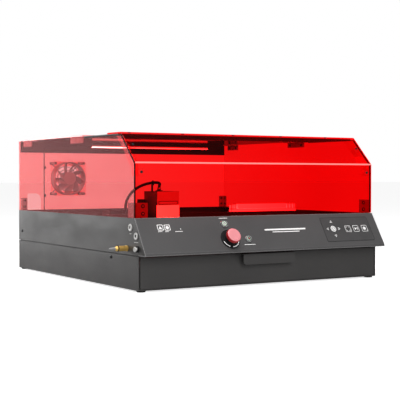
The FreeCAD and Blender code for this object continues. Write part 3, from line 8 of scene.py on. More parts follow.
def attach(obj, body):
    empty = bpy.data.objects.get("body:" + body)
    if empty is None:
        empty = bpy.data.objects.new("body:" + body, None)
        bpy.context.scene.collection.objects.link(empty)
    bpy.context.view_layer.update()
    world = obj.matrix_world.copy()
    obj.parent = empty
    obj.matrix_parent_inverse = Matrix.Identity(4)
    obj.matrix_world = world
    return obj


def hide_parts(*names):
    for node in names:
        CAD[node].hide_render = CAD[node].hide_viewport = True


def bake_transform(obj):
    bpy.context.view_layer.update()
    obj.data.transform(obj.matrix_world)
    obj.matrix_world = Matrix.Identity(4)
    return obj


# The looks of a desktop laser cutter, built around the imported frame. Lengths are metres in the frame's axes:
# +Z up, -Y towards the user. Sizes marked mm are millimetres, for the small turned and moulded pieces.

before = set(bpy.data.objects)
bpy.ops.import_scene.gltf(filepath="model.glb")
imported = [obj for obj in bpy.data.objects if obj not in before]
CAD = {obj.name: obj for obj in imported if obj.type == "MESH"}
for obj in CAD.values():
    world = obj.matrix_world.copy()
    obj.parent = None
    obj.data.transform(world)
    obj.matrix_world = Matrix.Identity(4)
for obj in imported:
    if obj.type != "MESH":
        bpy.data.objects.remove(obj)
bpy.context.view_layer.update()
MM = 0.001


# ==== Camera, stage and light ====

CAMERA_AT = (-1.1467, -1.9253, 0.2092)
CAMERA_YAW = -31.4
CAMERA_PITCH = 88.76
CAMERA_LENS = 91.4
SURROUNDINGS = 0.22
FLOOR_SEEN = 0.75
FLOOR_BOUNCE = 0.12


def make_camera():
    camera = bpy.data.objects.new("camera", bpy.data.cameras.new("camera"))
    bpy.context.scene.collection.objects.link(camera)
    camera.location = CAMERA_AT
    camera.rotation_euler = (math.radians(CAMERA_PITCH), 0, math.radians(CAMERA_YAW))
    camera.data.sensor_width = 36
    camera.data.lens = CAMERA_LENS
    camera.data.clip_end = 100
    bpy.context.scene.camera = camera


def softbox(name, at, target, size, power):
    """A square studio light that faces a point."""
    data = bpy.data.lights.new(name, "AREA")
    data.size = size
    data.energy = power
    lamp = bpy.data.objects.new(name, data)
    bpy.context.scene.collection.objects.link(lamp)
    lamp.location = at
    lamp.rotation_euler = (Vector(target) - Vector(at)).to_track_quat("-Z", "Y").to_euler()


def light_studio():
    """White surroundings as the camera sees them, dimmer as the object does, with three soft lights."""
    scene = bpy.context.scene
    scene.view_settings.view_transform = "Standard"
    world = bpy.data.worlds.new("studio")
    scene.world = world
    world.use_nodes = True
    tree = world.node_tree
    tree.nodes.clear()
    path = tree.nodes.new("ShaderNodeLightPath")
    mix = tree.nodes.new("ShaderNodeMixShader")
    output = tree.nodes.new("ShaderNodeOutputWorld")
    tree.links.new(path.outputs["Is Camera Ray"], mix.inputs[0])
    for socket, strength in ((mix.inputs[1], SURROUNDINGS), (mix.inputs[2], 1.0)):
        white = tree.nodes.new("ShaderNodeBackground")
        white.inputs["Color"].default_value = (1, 1, 1, 1)
        white.inputs["Strength"].default_value = strength
        tree.links.new(white.outputs[0], socket)
    tree.links.new(mix.outputs[0], output.inputs["Surface"])
    softbox("light_left", (-0.75, 0.95, 0.35), (-0.28, 0.1, 0.1), 0.6, 5)
    softbox("light_top", (-0.4, -0.6, 2.2), (0.0, -0.1, 0.1), 1.6, 36)
    softbox("light_front", (-0.25, -2.6, 1.2), (0.0, 0.0, 0.1), 1.6, 24)


# ==== Finishes ====

class Graph:
    """A material's nodes. Patterns are laid out in the object's own space, so they move with the piece."""

    def __init__(self, name):
        self.material = bpy.data.materials.new(name)
        self.material.use_nodes = True
        self.tree = self.material.node_tree
        self.tree.nodes.clear()
        self.output = self.node("ShaderNodeOutputMaterial")
        self.place = self.node("ShaderNodeTexCoord").outputs["Object"]

    def node(self, kind, **sockets):
        made = self.tree.nodes.new(kind)
        for name, value in sockets.items():
            self.feed(made.inputs[name.replace("_", " ")], value)
        return made

    def feed(self, socket, value):
        if isinstance(value, bpy.types.NodeSocket):
            self.tree.links.new(value, socket)
        else:
            socket.default_value = value

    def noise(self, scale, detail=3.0, stretch=None):
        place = self.place
        if stretch is not None:
            place = self.node("ShaderNodeMapping", Vector=place, Scale=stretch).outputs["Vector"]
        return self.node("ShaderNodeTexNoise", Vector=place, Scale=scale, Detail=detail).outputs["Fac"]

    def span(self, value, low, high, start, end):
        """value's stretch from low to high, turned into start to end."""
        made = self.node("ShaderNodeMapRange", Value=value, From_Min=low, From_Max=high, To_Min=start,
                         To_Max=end)
        return made.outputs["Result"]

    def times(self, first, second):
        made = self.node("ShaderNodeMath")
        made.operation = "MULTIPLY"
        self.feed(made.inputs[0], first)
        self.feed(made.inputs[1], second)
        return made.outputs[0]

    def mixed(self, share, first, second):
        made = self.node("ShaderNodeMix")
        made.data_type = "RGBA"
        self.feed(made.inputs[0], share)
        self.feed(made.inputs[6], first)
        self.feed(made.inputs[7], second)
        return made.outputs[2]

    def edges(self, radius, share, sharp=0.90, flat_from=0.995, broken=0.42):
        """Near 1 along sharp edges and 0 on flats, broken up by noise."""
        soft = self.node("ShaderNodeBevel", Radius=radius)
        soft.samples = 4
        flat = self.node("ShaderNodeNewGeometry").outputs["Normal"]
        turn = self.node("ShaderNodeVectorMath")
        turn.operation = "DOT_PRODUCT"
        self.feed(turn.inputs[0], soft.outputs["Normal"])
        self.feed(turn.inputs[1], flat)
        edge = self.span(turn.outputs["Value"], sharp, flat_from, 1.0, 0.0)
        rubbed_and_lit = self.span(self.noise(220, 4), broken, broken + 0.2, 0.0, share)
        return self.times(edge, rubbed_and_lit)

    def surface(self, colour, roughness, grain=None, depth=0.0, **sockets):
        self.shader = self.node("ShaderNodeBsdfPrincipled", Base_Color=colour, Roughness=roughness, **sockets)
        if grain is not None:
            bump = self.node("ShaderNodeBump", Height=grain, Distance=depth)
            self.feed(self.shader.inputs["Normal"], bump.outputs["Normal"])
        self.feed(self.output.inputs["Surface"], self.shader.outputs["BSDF"])
        return self.material


def shade(colour, factor):
    return tuple(min(1.0, c * factor) for c in colour) + (1.0,)


def painted(name, colour, roughness=(0.42, 0.56), wear_and_highlight=0.35, edge=0.0007, broken=0.42):
    """Powder coat: fine orange peel, cloudy tone, wiped streaks in the gloss, and edges made lighter: partly
    real rubbing, partly a painted highlight along the bends.
    """
    g = Graph(name)
    cloud = g.span(g.noise(7, 4), 0.35, 0.65, 0.0, 1.0)
    tone = g.mixed(cloud, shade(colour, 0.93), shade(colour, 1.07))
    # Edges turn lighter: some real rubbing, and where the share is high a painted highlight.
    tone = g.mixed(g.edges(edge, wear_and_highlight, 0.92, 0.997, broken), tone, shade(colour, 3.6))
    wipes = g.span(g.noise(14, 5, (1.0, 0.6, 1.6)), 0.35, 0.65, *roughness)
    return g.surface(tone, wipes, g.noise(2400, 2), 0.00005)


def moulded(name, colour, roughness=(0.38, 0.52), grain=3200, depth=0.00002, **sockets):
    """Moulded plastic: a fine spark-eroded grain and uneven gloss."""
    g = Graph(name)
    cloud = g.span(g.noise(24, 4), 0.35, 0.65, 0.0, 1.0)
    tone = g.mixed(cloud, shade(colour, 0.92), shade(colour, 1.06))
    tone = g.mixed(g.edges(0.0004, 0.25), tone, shade(colour, 1.8))
    gloss = g.span(g.noise(90, 4), 0.35, 0.65, *roughness)
    return g.surface(tone, gloss, g.noise(grain, 2), depth, **sockets)


def metal(name, colour, roughness=(0.24, 0.38), stretch=(1.0, 30.0, 30.0), depth=0.000015, metallic=1.0):
    """Brushed or drawn metal: long fine lines, with a slow change of tone and handled edges."""
    g = Graph(name)
    lines = g.noise(70, 6, stretch)
    tone = g.mixed(g.span(lines, 0.3, 0.7, 0.0, 1.0), shade(colour, 0.86), shade(colour, 1.08))
    tone = g.mixed(g.edges(0.0004, 0.5), tone, shade(colour, 1.35))
    return g.surface(tone, g.span(g.noise(40, 4), 0.3, 0.7, *roughness), lines, depth, Metallic=metallic)


def acrylic(name, tints, gloss, axis="Y", ends=(-0.25, 0.28), fold_highlight=0.0, veil=0.0):
    """Clear tinted sheet. Each face takes its share of the tint and the outer ones mirror a little. Both run
    from a first to a second value between two ends along an axis; the tint's run is painted light, paler at
    the end the lamps fall on. The fold highlight is a painted lit band on the bend between faces, and veil is
    the share of light that the outer face scatters."""
    g = Graph(name)
    smear = g.span(g.noise(11, 5, (1.0, 1.0, 2.2)), 0.38, 0.66, 0.0, 1.0)
    spot = g.node("ShaderNodeSeparateXYZ", Vector=g.place).outputs[axis]
    # The tint runs paler towards one end: painted light, since the sheet looks paler where the lamps fall on
    # it.
    share = g.span(spot, *ends, 0.0, 1.0)
    tint = g.mixed(share, shade(tints[0], 1.0), shade(tints[1], 1.0))
    tint = g.mixed(g.times(smear, 0.03), tint, (0.9, 0.2, 0.2, 1.0))
    clear = g.node("ShaderNodeBsdfTransparent", Color=tint)
    mirror = g.node("ShaderNodeBsdfGlossy", Color=(1.0, 0.9, 0.9, 1.0),
                    Roughness=g.span(smear, 0.0, 1.0, 0.02, 0.07))
    outer = g.span(g.node("ShaderNodeNewGeometry").outputs["Backfacing"], 0.0, 1.0, 1.0, 0.0)
    strength = g.times(g.span(share, 0.0, 1.0, *gloss), outer)
    facing = g.node("ShaderNodeFresnel", IOR=1.49)
    mix = g.node("ShaderNodeMixShader", Fac=g.times(facing.outputs[0], strength))
    g.feed(mix.inputs[1], clear.outputs[0])
    g.feed(mix.inputs[2], mirror.outputs[0])
    if veil > 0.0:
        milky = g.node("ShaderNodeBsdfPrincipled", Base_Color=(0.95, 0.15, 0.16, 1.0), Roughness=0.5)
        scatter = g.span(smear, 0.0, 1.0, veil * 0.95, veil * 1.05)
        veiled = g.node("ShaderNodeMixShader", Fac=g.times(outer, scatter))
        g.feed(veiled.inputs[1], mix.outputs[0])
        g.feed(veiled.inputs[2], milky.outputs[0])
        mix = veiled
    if fold_highlight == 0.0:
        g.feed(g.output.inputs["Surface"], mix.outputs[0])
        return g.material
    # A painted highlight on the bend: a pale red band that emits light where the sheet turns from upright to
    # sloping.
    edge = g.node("ShaderNodeBsdfPrincipled", Base_Color=(1.0, 0.24, 0.22, 1.0), Roughness=0.3,
                  Emission_Color=(1.0, 0.24, 0.22, 1.0), Emission_Strength=0.6)
    normal = g.node("ShaderNodeSeparateXYZ", Vector=g.node("ShaderNodeTexCoord").outputs["Normal"])
    upward = normal.outputs["Z"]
    fold = g.times(g.span(upward, 0.02, 0.12, 0.0, fold_highlight), g.span(upward, 0.62, 0.70, 1.0, 0.0))
    sideways = g.times(normal.outputs["X"], normal.outputs["X"])
    fold = g.times(fold, g.span(sideways, 0.01, 0.04, 1.0, 0.0))
    bend = g.node("ShaderNodeMixShader", Fac=fold)
    g.feed(bend.inputs[1], mix.outputs[0])
    g.feed(bend.inputs[2], edge.outputs[0])
    g.feed(g.output.inputs["Surface"], bend.outputs[0])
    return g.material


def lit(name, colour, strength, fade=None, spill=1.0):
    """A pale diffuser with light behind it, brighter over each of its lamps. Where fade is given, it is dark
    above those heights and spill is the share of its brightness that its surroundings get."""
    g = Graph(name)
    lamps = g.span(g.noise(120, 2, (1.0, 0.01, 0.01)), 0.3, 0.7, 0.75, 1.0)
    tone = g.mixed(lamps, shade(colour, 0.85), shade(colour, 1.0))
    made = g.surface(tone, g.span(g.noise(60), 0.3, 0.7, 0.35, 0.5), g.noise(1500, 2), 0.00001,
                     Emission_Strength=strength)
    g.feed(g.shader.inputs["Emission Color"], tone)
    if fade is not None:
        height = g.node("ShaderNodeSeparateXYZ", Vector=g.place).outputs["Z"]
        direct = g.node("ShaderNodeLightPath").outputs["Is Camera Ray"]
        power = g.times(g.span(height, *fade, strength, 0.04), g.span(direct, 0.0, 1.0, spill, 1.0))
        g.feed(g.shader.inputs["Emission Strength"], power)
    return made


def acrylic_shield():
    """The module's bright translucent shield: glossy, and emitting light as painted light that makes it look
    brightly lit.
    """
    g = Graph("shield_orange")
    cloud = g.span(g.noise(30, 4), 0.35, 0.65, 0.0, 1.0)
    tone = g.mixed(cloud, (0.92, 0.74, 0.60, 1), (0.95, 0.80, 0.66, 1))
    made = g.surface(tone, g.span(g.noise(60, 4), 0.3, 0.7, 0.2, 0.34), g.noise(900, 2), 0.00001,
                     Emission_Strength=4.2)
    g.feed(g.shader.inputs["Emission Color"], tone)
    return made


def circuit_board():
    """Green solder mask over the ghost of copper tracks."""
    g = Graph("board")
    waves = g.node("ShaderNodeTexWave", Vector=g.place, Scale=260.0, Distortion=9.0, Detail=2.0)
    tracks = g.span(waves.outputs["Fac"], 0.55, 0.6, 0.0, 1.0)
    tone = g.mixed(tracks, (0.012, 0.10, 0.04, 1), (0.03, 0.20, 0.08, 1))
    return g.surface(tone, g.span(tracks, 0.0, 1.0, 0.3, 0.4), tracks, 0.00003)


EVEN = (1.0, 1.0, 1.0)
FINISH = {
    "steel_dark": painted("steel_dark", (0.066, 0.063, 0.062)),
    # The control panel's edges take the lighter tone at full share over a wide radius: a painted highlight
    # along its bends.
    "steel_panel": painted("steel_panel", (0.082, 0.080, 0.081), (0.40, 0.52), 1.0, 0.0026, 0.12),
    "aluminium_black": metal("aluminium_black", (0.055, 0.052, 0.055), (0.40, 0.52), metallic=0.1),
    "rail_black": metal("rail_black", (0.012, 0.012, 0.012), (0.45, 0.58), metallic=0.1),
    "aluminium": metal("aluminium", (0.66, 0.66, 0.68), (0.26, 0.40)),
    "bright_steel": metal("bright_steel", (0.62, 0.62, 0.64), (0.20, 0.34), EVEN),
    "bed_steel": metal("bed_steel", (0.42, 0.42, 0.43), (0.30, 0.46), (30.0, 1.0, 30.0)),
    "grey_bracket": metal("grey_bracket", (0.50, 0.48, 0.49), (0.40, 0.52), EVEN, metallic=0.1),
    "screw_black": metal("screw_black", (0.02, 0.02, 0.022), (0.30, 0.45), EVEN, metallic=0.5),
    "brass": metal("brass", (0.90, 0.58, 0.16), (0.26, 0.40), EVEN, 0.00002, 0.6),
    "black_rubber": moulded("black_rubber", (0.018, 0.018, 0.018), (0.62, 0.8), 900, 0.00006),
    "black_plastic": moulded("black_plastic", (0.012, 0.012, 0.013), (0.5, 0.64), Specular_IOR_Level=0.2),
    "white_plastic": moulded("white_plastic", (0.80, 0.79, 0.77), (0.22, 0.34), 1400, 0.00001),
    "red_plastic": moulded("red_plastic", (0.52, 0.018, 0.024), (0.24, 0.38), 1600, 0.00002),
    # The e-stop cap's top: the same red made paler, as painted light from above.
    "stop_top_painted_light": moulded("stop_top_painted_light", (0.95, 0.33, 0.36), (0.30, 0.46), 900, 0.00012),
    "shield_orange": acrylic_shield(),
    # White print that emits a little light, as painted light that keeps it bright; the magnets' pale centres
    # use it as a painted highlight.
    "print_white": moulded("print_white", (0.90, 0.90, 0.89), (0.45, 0.6), Emission_Strength=0.15,
                           Emission_Color=(1.0, 1.0, 1.0, 1.0)),
    "keypad": moulded("keypad", (0.070, 0.068, 0.069), (0.36, 0.46), 1800, 0.00001),
    "board": circuit_board(),
    "light_bar": lit("light_bar", (0.98, 0.94, 0.90), 4.5),
    "light_strip": lit("light_strip", (1.0, 0.90, 0.84), 9.0, (0.2838, 0.2842), 0.06),
    "acrylic_side": acrylic("acrylic_side", ((1.0, 0.60, 0.605), (1.0, 0.62, 0.62)), (0.03, 0.05),
                            veil=0.20),
    "acrylic_top": acrylic("acrylic_top", ((1.0, 0.64, 0.645), (1.0, 0.64, 0.645)), (1.3, 1.3)),
    "acrylic_rear": acrylic("acrylic_rear", ((1.0, 0.735, 0.735), (1.0, 0.735, 0.735)), (0.3, 0.3)),
    "acrylic_front": acrylic("acrylic_front", ((1.0, 0.15, 0.15), (1.0, 0.05, 0.06)), (0.2, 0.05), "X",
                             (-0.28, 0.12), fold_highlight=0.85),
    "cap_green": moulded("cap_green", (0.66, 0.78, 0.66), (0.25, 0.4), 1400, 0.00001, Emission_Strength=0.3,
                         Emission_Color=(0.66, 0.80, 0.66, 1.0)),
    "red_dot": moulded("red_dot", (0.62, 0.14, 0.13), (0.25, 0.4), 1400, 0.00001),
    "hose_grey": moulded("hose_grey", (0.34, 0.34, 0.34), (0.4, 0.55), 1400, 0.00002),
    "fan_grey": moulded("fan_grey", (0.52, 0.50, 0.50), (0.4, 0.55)),
    # The module cover's front: the dark cover painted pale and emitting a little light, as painted light where
    # the lamps fall on it.
    "cover_front": moulded("cover_front", (0.86, 0.50, 0.47), (0.3, 0.42), Emission_Strength=0.22,
                           Emission_Color=(0.86, 0.4, 0.36, 1.0)),
    "cable_black": moulded("cable_black", (0.016, 0.016, 0.017), (0.42, 0.58), 2600, 0.00003),
    "keypad_line": moulded("keypad_line", (0.022, 0.022, 0.023), (0.5, 0.6), 2000, 0.00001),
}


# ==== Mesh making ====

SHARP = math.radians(32)


def finish_piece(bm, name, body, finish):
    """Turns built geometry into a piece that rides on a body, smooth but for its sharp edges."""
    bmesh.ops.recalc_face_normals(bm, faces=bm.faces)
    for edge in bm.edges:
        edge.smooth = edge.is_manifold and edge.calc_face_angle(0.0) < SHARP
    for face in bm.faces:
        face.smooth = True
    mesh = bpy.data.meshes.new(name)
    bm.to_mesh(mesh)
    bm.free()
    piece = bpy.data.objects.new(name, mesh)
    bpy.context.scene.collection.objects.link(piece)
    for material in finish if isinstance(finish, (list, tuple)) else [finish]:
        mesh.materials.append(FINISH[material])
    if body is not None:
        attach(piece, body)
    return piece


# The record's material for each finish, where its name is another.
SLOT_OF = {name: name for name in FINISH}
SLOT_OF.update({
    "cap_green": "white_plastic", "red_dot": "white_plastic", "print_white": "white_plastic",
    "hose_grey": "black_rubber", "cable_black": "black_rubber", "fan_grey": "black_plastic",
    "keypad_line": "keypad", "shield_orange": "red_plastic", "stop_top_painted_light": "red_plastic",
    "bed_steel": "bright_steel", "screw_black": "bright_steel", "grey_bracket": "aluminium",
    "cover_front": "aluminium_black", "acrylic_side": "red_acrylic", "acrylic_rear": "red_acrylic",
    "acrylic_top": "red_acrylic", "acrylic_front": "red_acrylic",
})


def aimed(at, way, across=None):
    """A placement whose Z runs along way; its X follows across where that is given."""
    z = Vector(way).normalized()
    if across is None:
        across = (1, 0, 0) if abs(z.x) < 0.9 else (0, 1, 0)
    x = Vector(across)
    x = (x - z * x.dot(z)).normalized()
    y = z.cross(x)
    turn = Matrix((x, y, z)).transposed().to_4x4()
    return Matrix.Translation(Vector(at)) @ turn


CORNERS = [(sx, sy) for sx in (-1, 1) for sy in (-1, 1)]


def circle(radius, count=36, centre=(0.0, 0.0)):
    """Evenly spaced points round a centre."""
    turns = [2 * math.pi * index / count for index in range(count)]
    return [(centre[0] + radius * math.cos(a), centre[1] + radius * math.sin(a)) for a in turns]


def turned(bm, profile, place, segments=48, closed=False):
    """A lathe-turned form: profile is (radius, height) in mm from one end to the other, each with the number
    of the material on the band before it where that isn't 0. A closed profile returns to its start."""
    rings = []
    for point in profile:
        radius, height = point[:2]
        if radius < 1e-6:
            rings.append([bm.verts.new(place @ Vector((0, 0, height * MM)))])
            continue
        around = circle(radius, segments)
        rings.append([bm.verts.new(place @ (Vector((x, y, height)) * MM)) for x, y in around])
    bands = list(zip(rings, rings[1:], profile[1:]))
    if closed:
        bands.append((rings[-1], rings[0], profile[0]))
    for low, high, point in bands:
        material = point[2] if len(point) > 2 else 0
        if len(low) == 1 and len(high) == 1:
            continue
        for index in range(segments):
            nxt = (index + 1) % segments
            if len(low) == 1:
                corners = [low[0], high[index], high[nxt]]
            elif len(high) == 1:
                corners = [low[index], high[0], low[nxt]]
            else:
                corners = [low[index], high[index], high[nxt], low[nxt]]
            bm.faces.new(corners).material_index = material
    if not closed:
        for ring in (rings[0], rings[-1]):
            if len(ring) > 1:
                bm.faces.new(ring)


def lofted(bm, loops, place):
    """A closed form through loops of equally many (x, y, z) points, in mm."""
    made = [[bm.verts.new(place @ (Vector(point) * MM)) for point in loop] for loop in loops]
    count = len(loops[0])
    for low, high in zip(made, made[1:]):
        for index in range(count):
            nxt = (index + 1) % count
            bm.faces.new([low[index], low[nxt], high[nxt], high[index]])
    for loop in (made[0], made[-1]):
        bm.faces.new(loop)


def block(bm, low, high, radius=0.0003, place=None, material=0, segments=2):
    """A box with rounded edges, in metres."""
    low, high = Vector(low), Vector(high)
    made = bmesh.ops.create_cube(bm, size=1.0)["verts"]
    for vert in made:
        vert.co = Vector((low[i] + (vert.co[i] + 0.5) * (high[i] - low[i]) for i in range(3)))
    edges = {edge for vert in made for edge in vert.link_edges}
    faces = {face for vert in made for face in vert.link_faces}
    if radius > 0:
        result = bmesh.ops.bevel(bm, geom=list(edges), offset=radius, segments=segments, profile=0.5,
                                 affect="EDGES", clamp_overlap=True)
        faces = {face for face in faces if face.is_valid} | set(result["faces"])
    verts = {vert for face in faces for vert in face.verts}
    for face in faces:
        face.material_index = material
    if place is not None:
        for vert in verts:
            vert.co = place @ vert.co


def slab(bm, outline, place, low, high, material=0):
    """A flat plate with a closed outline in mm, between two heights in mm."""
    loops = []
    for z in (low, high):
        loops.append([bm.verts.new(place @ Vector((x * MM, y * MM, z * MM))) for x, y in outline])
    count = len(outline)
    for index in range(count):
        nxt = (index + 1) % count
        corners = [loops[0][index], loops[0][nxt], loops[1][nxt], loops[1][index]]
        bm.faces.new(corners).material_index = material
    for loop in loops:
        bm.faces.new(loop).material_index = material


def rounded_outline(half_x, half_y, radius, steps=5, centre=(0.0, 0.0)):
    """A rectangle with round corners, in mm."""
    points = []
    for quarter, (sx, sy) in enumerate(((1, 1), (-1, 1), (-1, -1), (1, -1))):
        for step in range(steps + 1):
            a = math.pi / 2 * (quarter + step / steps)
            points.append((centre[0] + sx * (half_x - radius) + radius * math.cos(a),
                           centre[1] + sy * (half_y - radius) + radius * math.sin(a)))
    return points


def frame_strip(bm, outer, inner, place, low, high, material=0):
    """A thin closed line: the band between two outlines that have the same number of points."""
    loops = []
    for outline in (outer, inner):
        for z in (low, high):
            loops.append([bm.verts.new(place @ Vector((x * MM, y * MM, z * MM))) for x, y in outline])
    outer_low, outer_high, inner_low, inner_high = loops
    count = len(outer)
    around = [outer_low, outer_high, inner_high, inner_low, outer_low]
    for a, b in zip(around, around[1:]):
        for index in range(count):
            nxt = (index + 1) % count
            bm.faces.new([a[index], a[nxt], b[nxt], b[index]]).material_index = material


def swept(bm, points, radius_at, segments, closed=False):
    """A round tube along points; radius_at(share) gives its radius at a share of its length, in metres."""
    points = [Vector(p) for p in points]
    count = len(points)
    normal = None
    rings = []
    for index, point in enumerate(points):
        before = points[index - 1] if index or closed else point
        after = points[(index + 1) % count] if index < count - 1 or closed else point
        way = (after - before).normalized()
        if normal is None:
            normal = way.orthogonal().normalized()
        normal = (normal - way * normal.dot(way)).normalized()
        side = way.cross(normal)
        radius = radius_at(index / (count - 1))
        rings.append([bm.verts.new(point + (normal * math.cos(2 * math.pi * k / segments)
                                            + side * math.sin(2 * math.pi * k / segments)) * radius)
                      for k in range(segments)])
    pairs = list(zip(rings, rings[1:])) + ([(rings[-1], rings[0])] if closed else [])
    for low, high in pairs:
        for k in range(segments):
            nxt = (k + 1) % segments
            bm.faces.new([low[k], low[nxt], high[nxt], high[k]])
    if not closed:
        for ring in (rings[0], rings[-1]):
            bm.faces.new(ring)


def solids(node):
    """(lowest corner, highest corner) of each separate solid of a CAD node."""
    bm = bmesh.new()
    bm.from_mesh(CAD[node].data)
    bmesh.ops.remove_doubles(bm, verts=bm.verts, dist=1e-6)
    left = set(bm.verts)
    found = []
    while left:
        stack = [left.pop()]
        group = []
        while stack:
            vert = stack.pop()
            group.append(vert.co.copy())
            for edge in vert.link_edges:
                other = edge.other_vert(vert)
                if other in left:
                    left.remove(other)
                    stack.append(other)
        low = Vector(min(co[i] for co in group) for i in range(3))
        high = Vector(max(co[i] for co in group) for i in range(3))
        found.append((low, high))
    bm.free()
    return sorted(found, key=lambda pair: tuple(round(c, 4) for c in pair[0]))


# ==== CAD nodes that stay, with their finishes and softened edges ====

KEPT = {
    "steel_dark": ["base_tub", "upper_housing", "drawer_front", "drawer_tray", "drawer_handle",
                   "lid_top_plate"],
    "steel_panel": ["control_panel"],
    "acrylic_side": ["hood_side_panels"],
    "acrylic_top": ["hood_top_panel", "lid_gussets"],
    "acrylic_rear": ["hood_rear_panel"],
    "acrylic_front": ["lid_window"],
    "rail_black": ["rear_rail"],
    "aluminium_black": ["x_beam", "gantry_end_plates", "carriage_plate", "module_heatsink", "module_cover"],
    "aluminium": ["y_rails", "y_belt_supports"],
    "grey_bracket": ["corner_brackets", "top_brackets"],
    "bright_steel": ["hinge_fixed_leaves", "hinge_lid_leaves", "hinge_pins", "y_drive_shaft", "x_pulley",
                     "x_idler", "y_idlers"],
    "shield_orange": ["module_shield"],
    "bed_steel": ["cutting_bed"],
    "black_rubber": ["foam_seals"],
    "black_plastic": ["light_wire", "cable_holders", "x_motor", "y_motor"],
    "light_strip": ["light_strip"],
    "board": ["control_board"],
}
SOFT_EDGE = 0.0004
BEND_EDGE = 0.0014


def dress_cad():
    for finish, names in KEPT.items():
        for name in names:
            node = CAD[name]
            node.data.materials.clear()
            node.data.materials.append(FINISH[finish])
            weld = node.modifiers.new("weld", "WELD")
            weld.merge_threshold = 1e-6
            bevel = node.modifiers.new("edge", "BEVEL")
            bevel.width = BEND_EDGE if name == "lid_window" else SOFT_EDGE
            bevel.segments = 2
            bevel.limit_method = "ANGLE"
            bevel.angle_limit = math.radians(35)
            bevel.use_clamp_overlap = True
            node.modifiers.new("normals", "WEIGHTED_NORMAL").keep_sharp = True


# ==== Control panel ====

PANEL_TOP = Vector((0, -281, 135.5))
PANEL_SLOPE = Vector((0, -0.536, -0.8442))
PANEL_NORMAL = Vector((0, -0.8442, 0.536))
START_AT = (-94.8, 17.0)
RESET_AT = (-50.8, 51.5)
STOP_AT = (-92.0, 50.5)
KEYPAD_AT = (200.0, 37.0)
HAIR = 0.1


def on_panel(x, down, height=0.0):
    """A placement on the control panel, Z off its face: x from the middle and down its slope, in mm."""
    at = PANEL_TOP + Vector((x, 0, 0)) + PANEL_SLOPE * down + PANEL_NORMAL * height
    return aimed(at * MM, PANEL_NORMAL, (1, 0, 0))


def ring_button(name, at, ring, cap_name, cap_body, centre):
    """A dark ring with a bright rim, threaded barrel and hexagon nut, and a cap with engraved circles."""
    bore = ring - 2.6
    place = on_panel(*at)
    bm = bmesh.new()
    threads = [(ring - 2 - 0.25 * (index % 2), -1.2 - 0.45 * index) for index in range(21)]
    turned(bm, [(0, -9.2), (bore, -9.2), (bore, 1.6), (bore + 0.4, 2.2), (ring - 1.4, 2.3), (ring - 1.3, 2.3)]
           + [(ring - 1.3, 0.0), (ring - 2, 0.0)] + threads + [(0, -11)], place)
    rim = [(ring - 1.3, 0.0, 1), (ring - 1.3, 2.3, 1), (ring - 0.6, 2.4, 1), (ring, 1.8, 1), (ring, 0.0, 1)]
    turned(bm, rim, place, 64, True)
    nut = [(ring - 1.9, -5.2, 1), (ring + 1, -5.2, 1), (ring + 1, -2.3, 1), (ring - 1.9, -2.3, 1)]
    turned(bm, nut, place, 6, True)
    finish_piece(bm, name, "chassis", ["black_plastic", "aluminium"])
    bm = bmesh.new()
    cap = bore - 0.08
    turned(bm, [(0, 3.1), (1.3, 3.1, 1), (1.6, 2.7, 2), (2.2, 2.7, 2), (2.5, 3.1, 2), (cap - 1.5, 3.15),
                (cap - 1.4, 2.75, 2), (cap - 0.8, 2.7, 2), (cap - 0.7, 2.95, 2), (cap - 0.3, 2.8), (cap, 2.3),
                (cap, -4), (0, -4)], place)
    finish_piece(bm, cap_name, cap_body, ["cap_green", centre, "black_plastic"])


def twist_arrow(bm, place, radius, start, sweep, height, material):
    """A flat curved arrow printed round a centre."""
    steps = 20
    half = 0.75
    outline = []
    for side in (half, -half):
        for step in range(steps + 1):
            share = step / steps if side > 0 else 1 - step / steps
            a = math.radians(start + sweep * share)
            outline.append(((radius + side) * math.cos(a), (radius + side) * math.sin(a)))
    slab(bm, outline, place, height, height + HAIR, material)
    a = math.radians(start + sweep)
    tip = math.radians(start + sweep + math.copysign(11, sweep))
    head = [((radius + 1.9) * math.cos(a), (radius + 1.9) * math.sin(a)),
            (radius * math.cos(tip), radius * math.sin(tip)),
            ((radius - 1.9) * math.cos(a), (radius - 1.9) * math.sin(a))]
    slab(bm, head, place, height, height + HAIR, material)


def emergency_stop():
    """A black collar with turn-to-release arrows, its contact block, the plunger and a mushroom cap, its top
    painted paler as painted light from above.
    """
    place = on_panel(*STOP_AT)
    bm = bmesh.new()
    turned(bm, [(5.2, -10), (5.2, 5.2), (5.8, 5.5), (11.7, 5.5), (12.5, 4.7), (12.5, 2.6), (13.1, 2.0),
                (19.6, 1.8), (20.3, 1.2), (20.5, 0.4), (20.5, 0.0), (8, 0.0), (8, -10)], place, 72, True)
    for start in (-164, -92, -38):
        twist_arrow(bm, place, 17.4, start, 44 if start != -38 else 30, 1.8, 1)
    turned(bm, [(5.4, -17), (5.4, -10.1), (9, -10.1), (9, -19.4), (8.4, -20), (0, -20), (0, -17)], place)
    for x in (-0.0058, 0.0058):
        block(bm, (x - 0.0011, -0.003, -0.0225), (x + 0.0011, 0.003, -0.0199), 0.0002, place, 2)
    finish_piece(bm, "stop_collar_turned", "chassis", ["black_plastic", "print_white", "brass"])
    bm = bmesh.new()
    turned(bm, [(0, 13), (5.08, 13), (5.08, 10.0), (13.9, 10.0), (14.6, 10.4), (14.9, 11.2), (14.9, 14.8),
                (14.6, 15.9), (13.8, 16.8), (12.6, 17.4, 1), (11.2, 17.75, 1), (9.6, 17.7, 1), (6, 17.5, 1),
                (0, 17.45, 1)], place, 72)
    finish_piece(bm, "stop_cap_turned", "stop_head", ["red_plastic", "stop_top_painted_light"])
    bm = bmesh.new()
    turned(bm, [(0, -10), (4.6, -10), (5, -9.6), (5, 8.4), (4.7, 8.6), (5, 8.8), (5, 12.5), (4.6, 12.9),
                (0, 12.9)], place, 36)
    finish_piece(bm, "stop_plunger_turned", "stop_stem", "red_plastic")


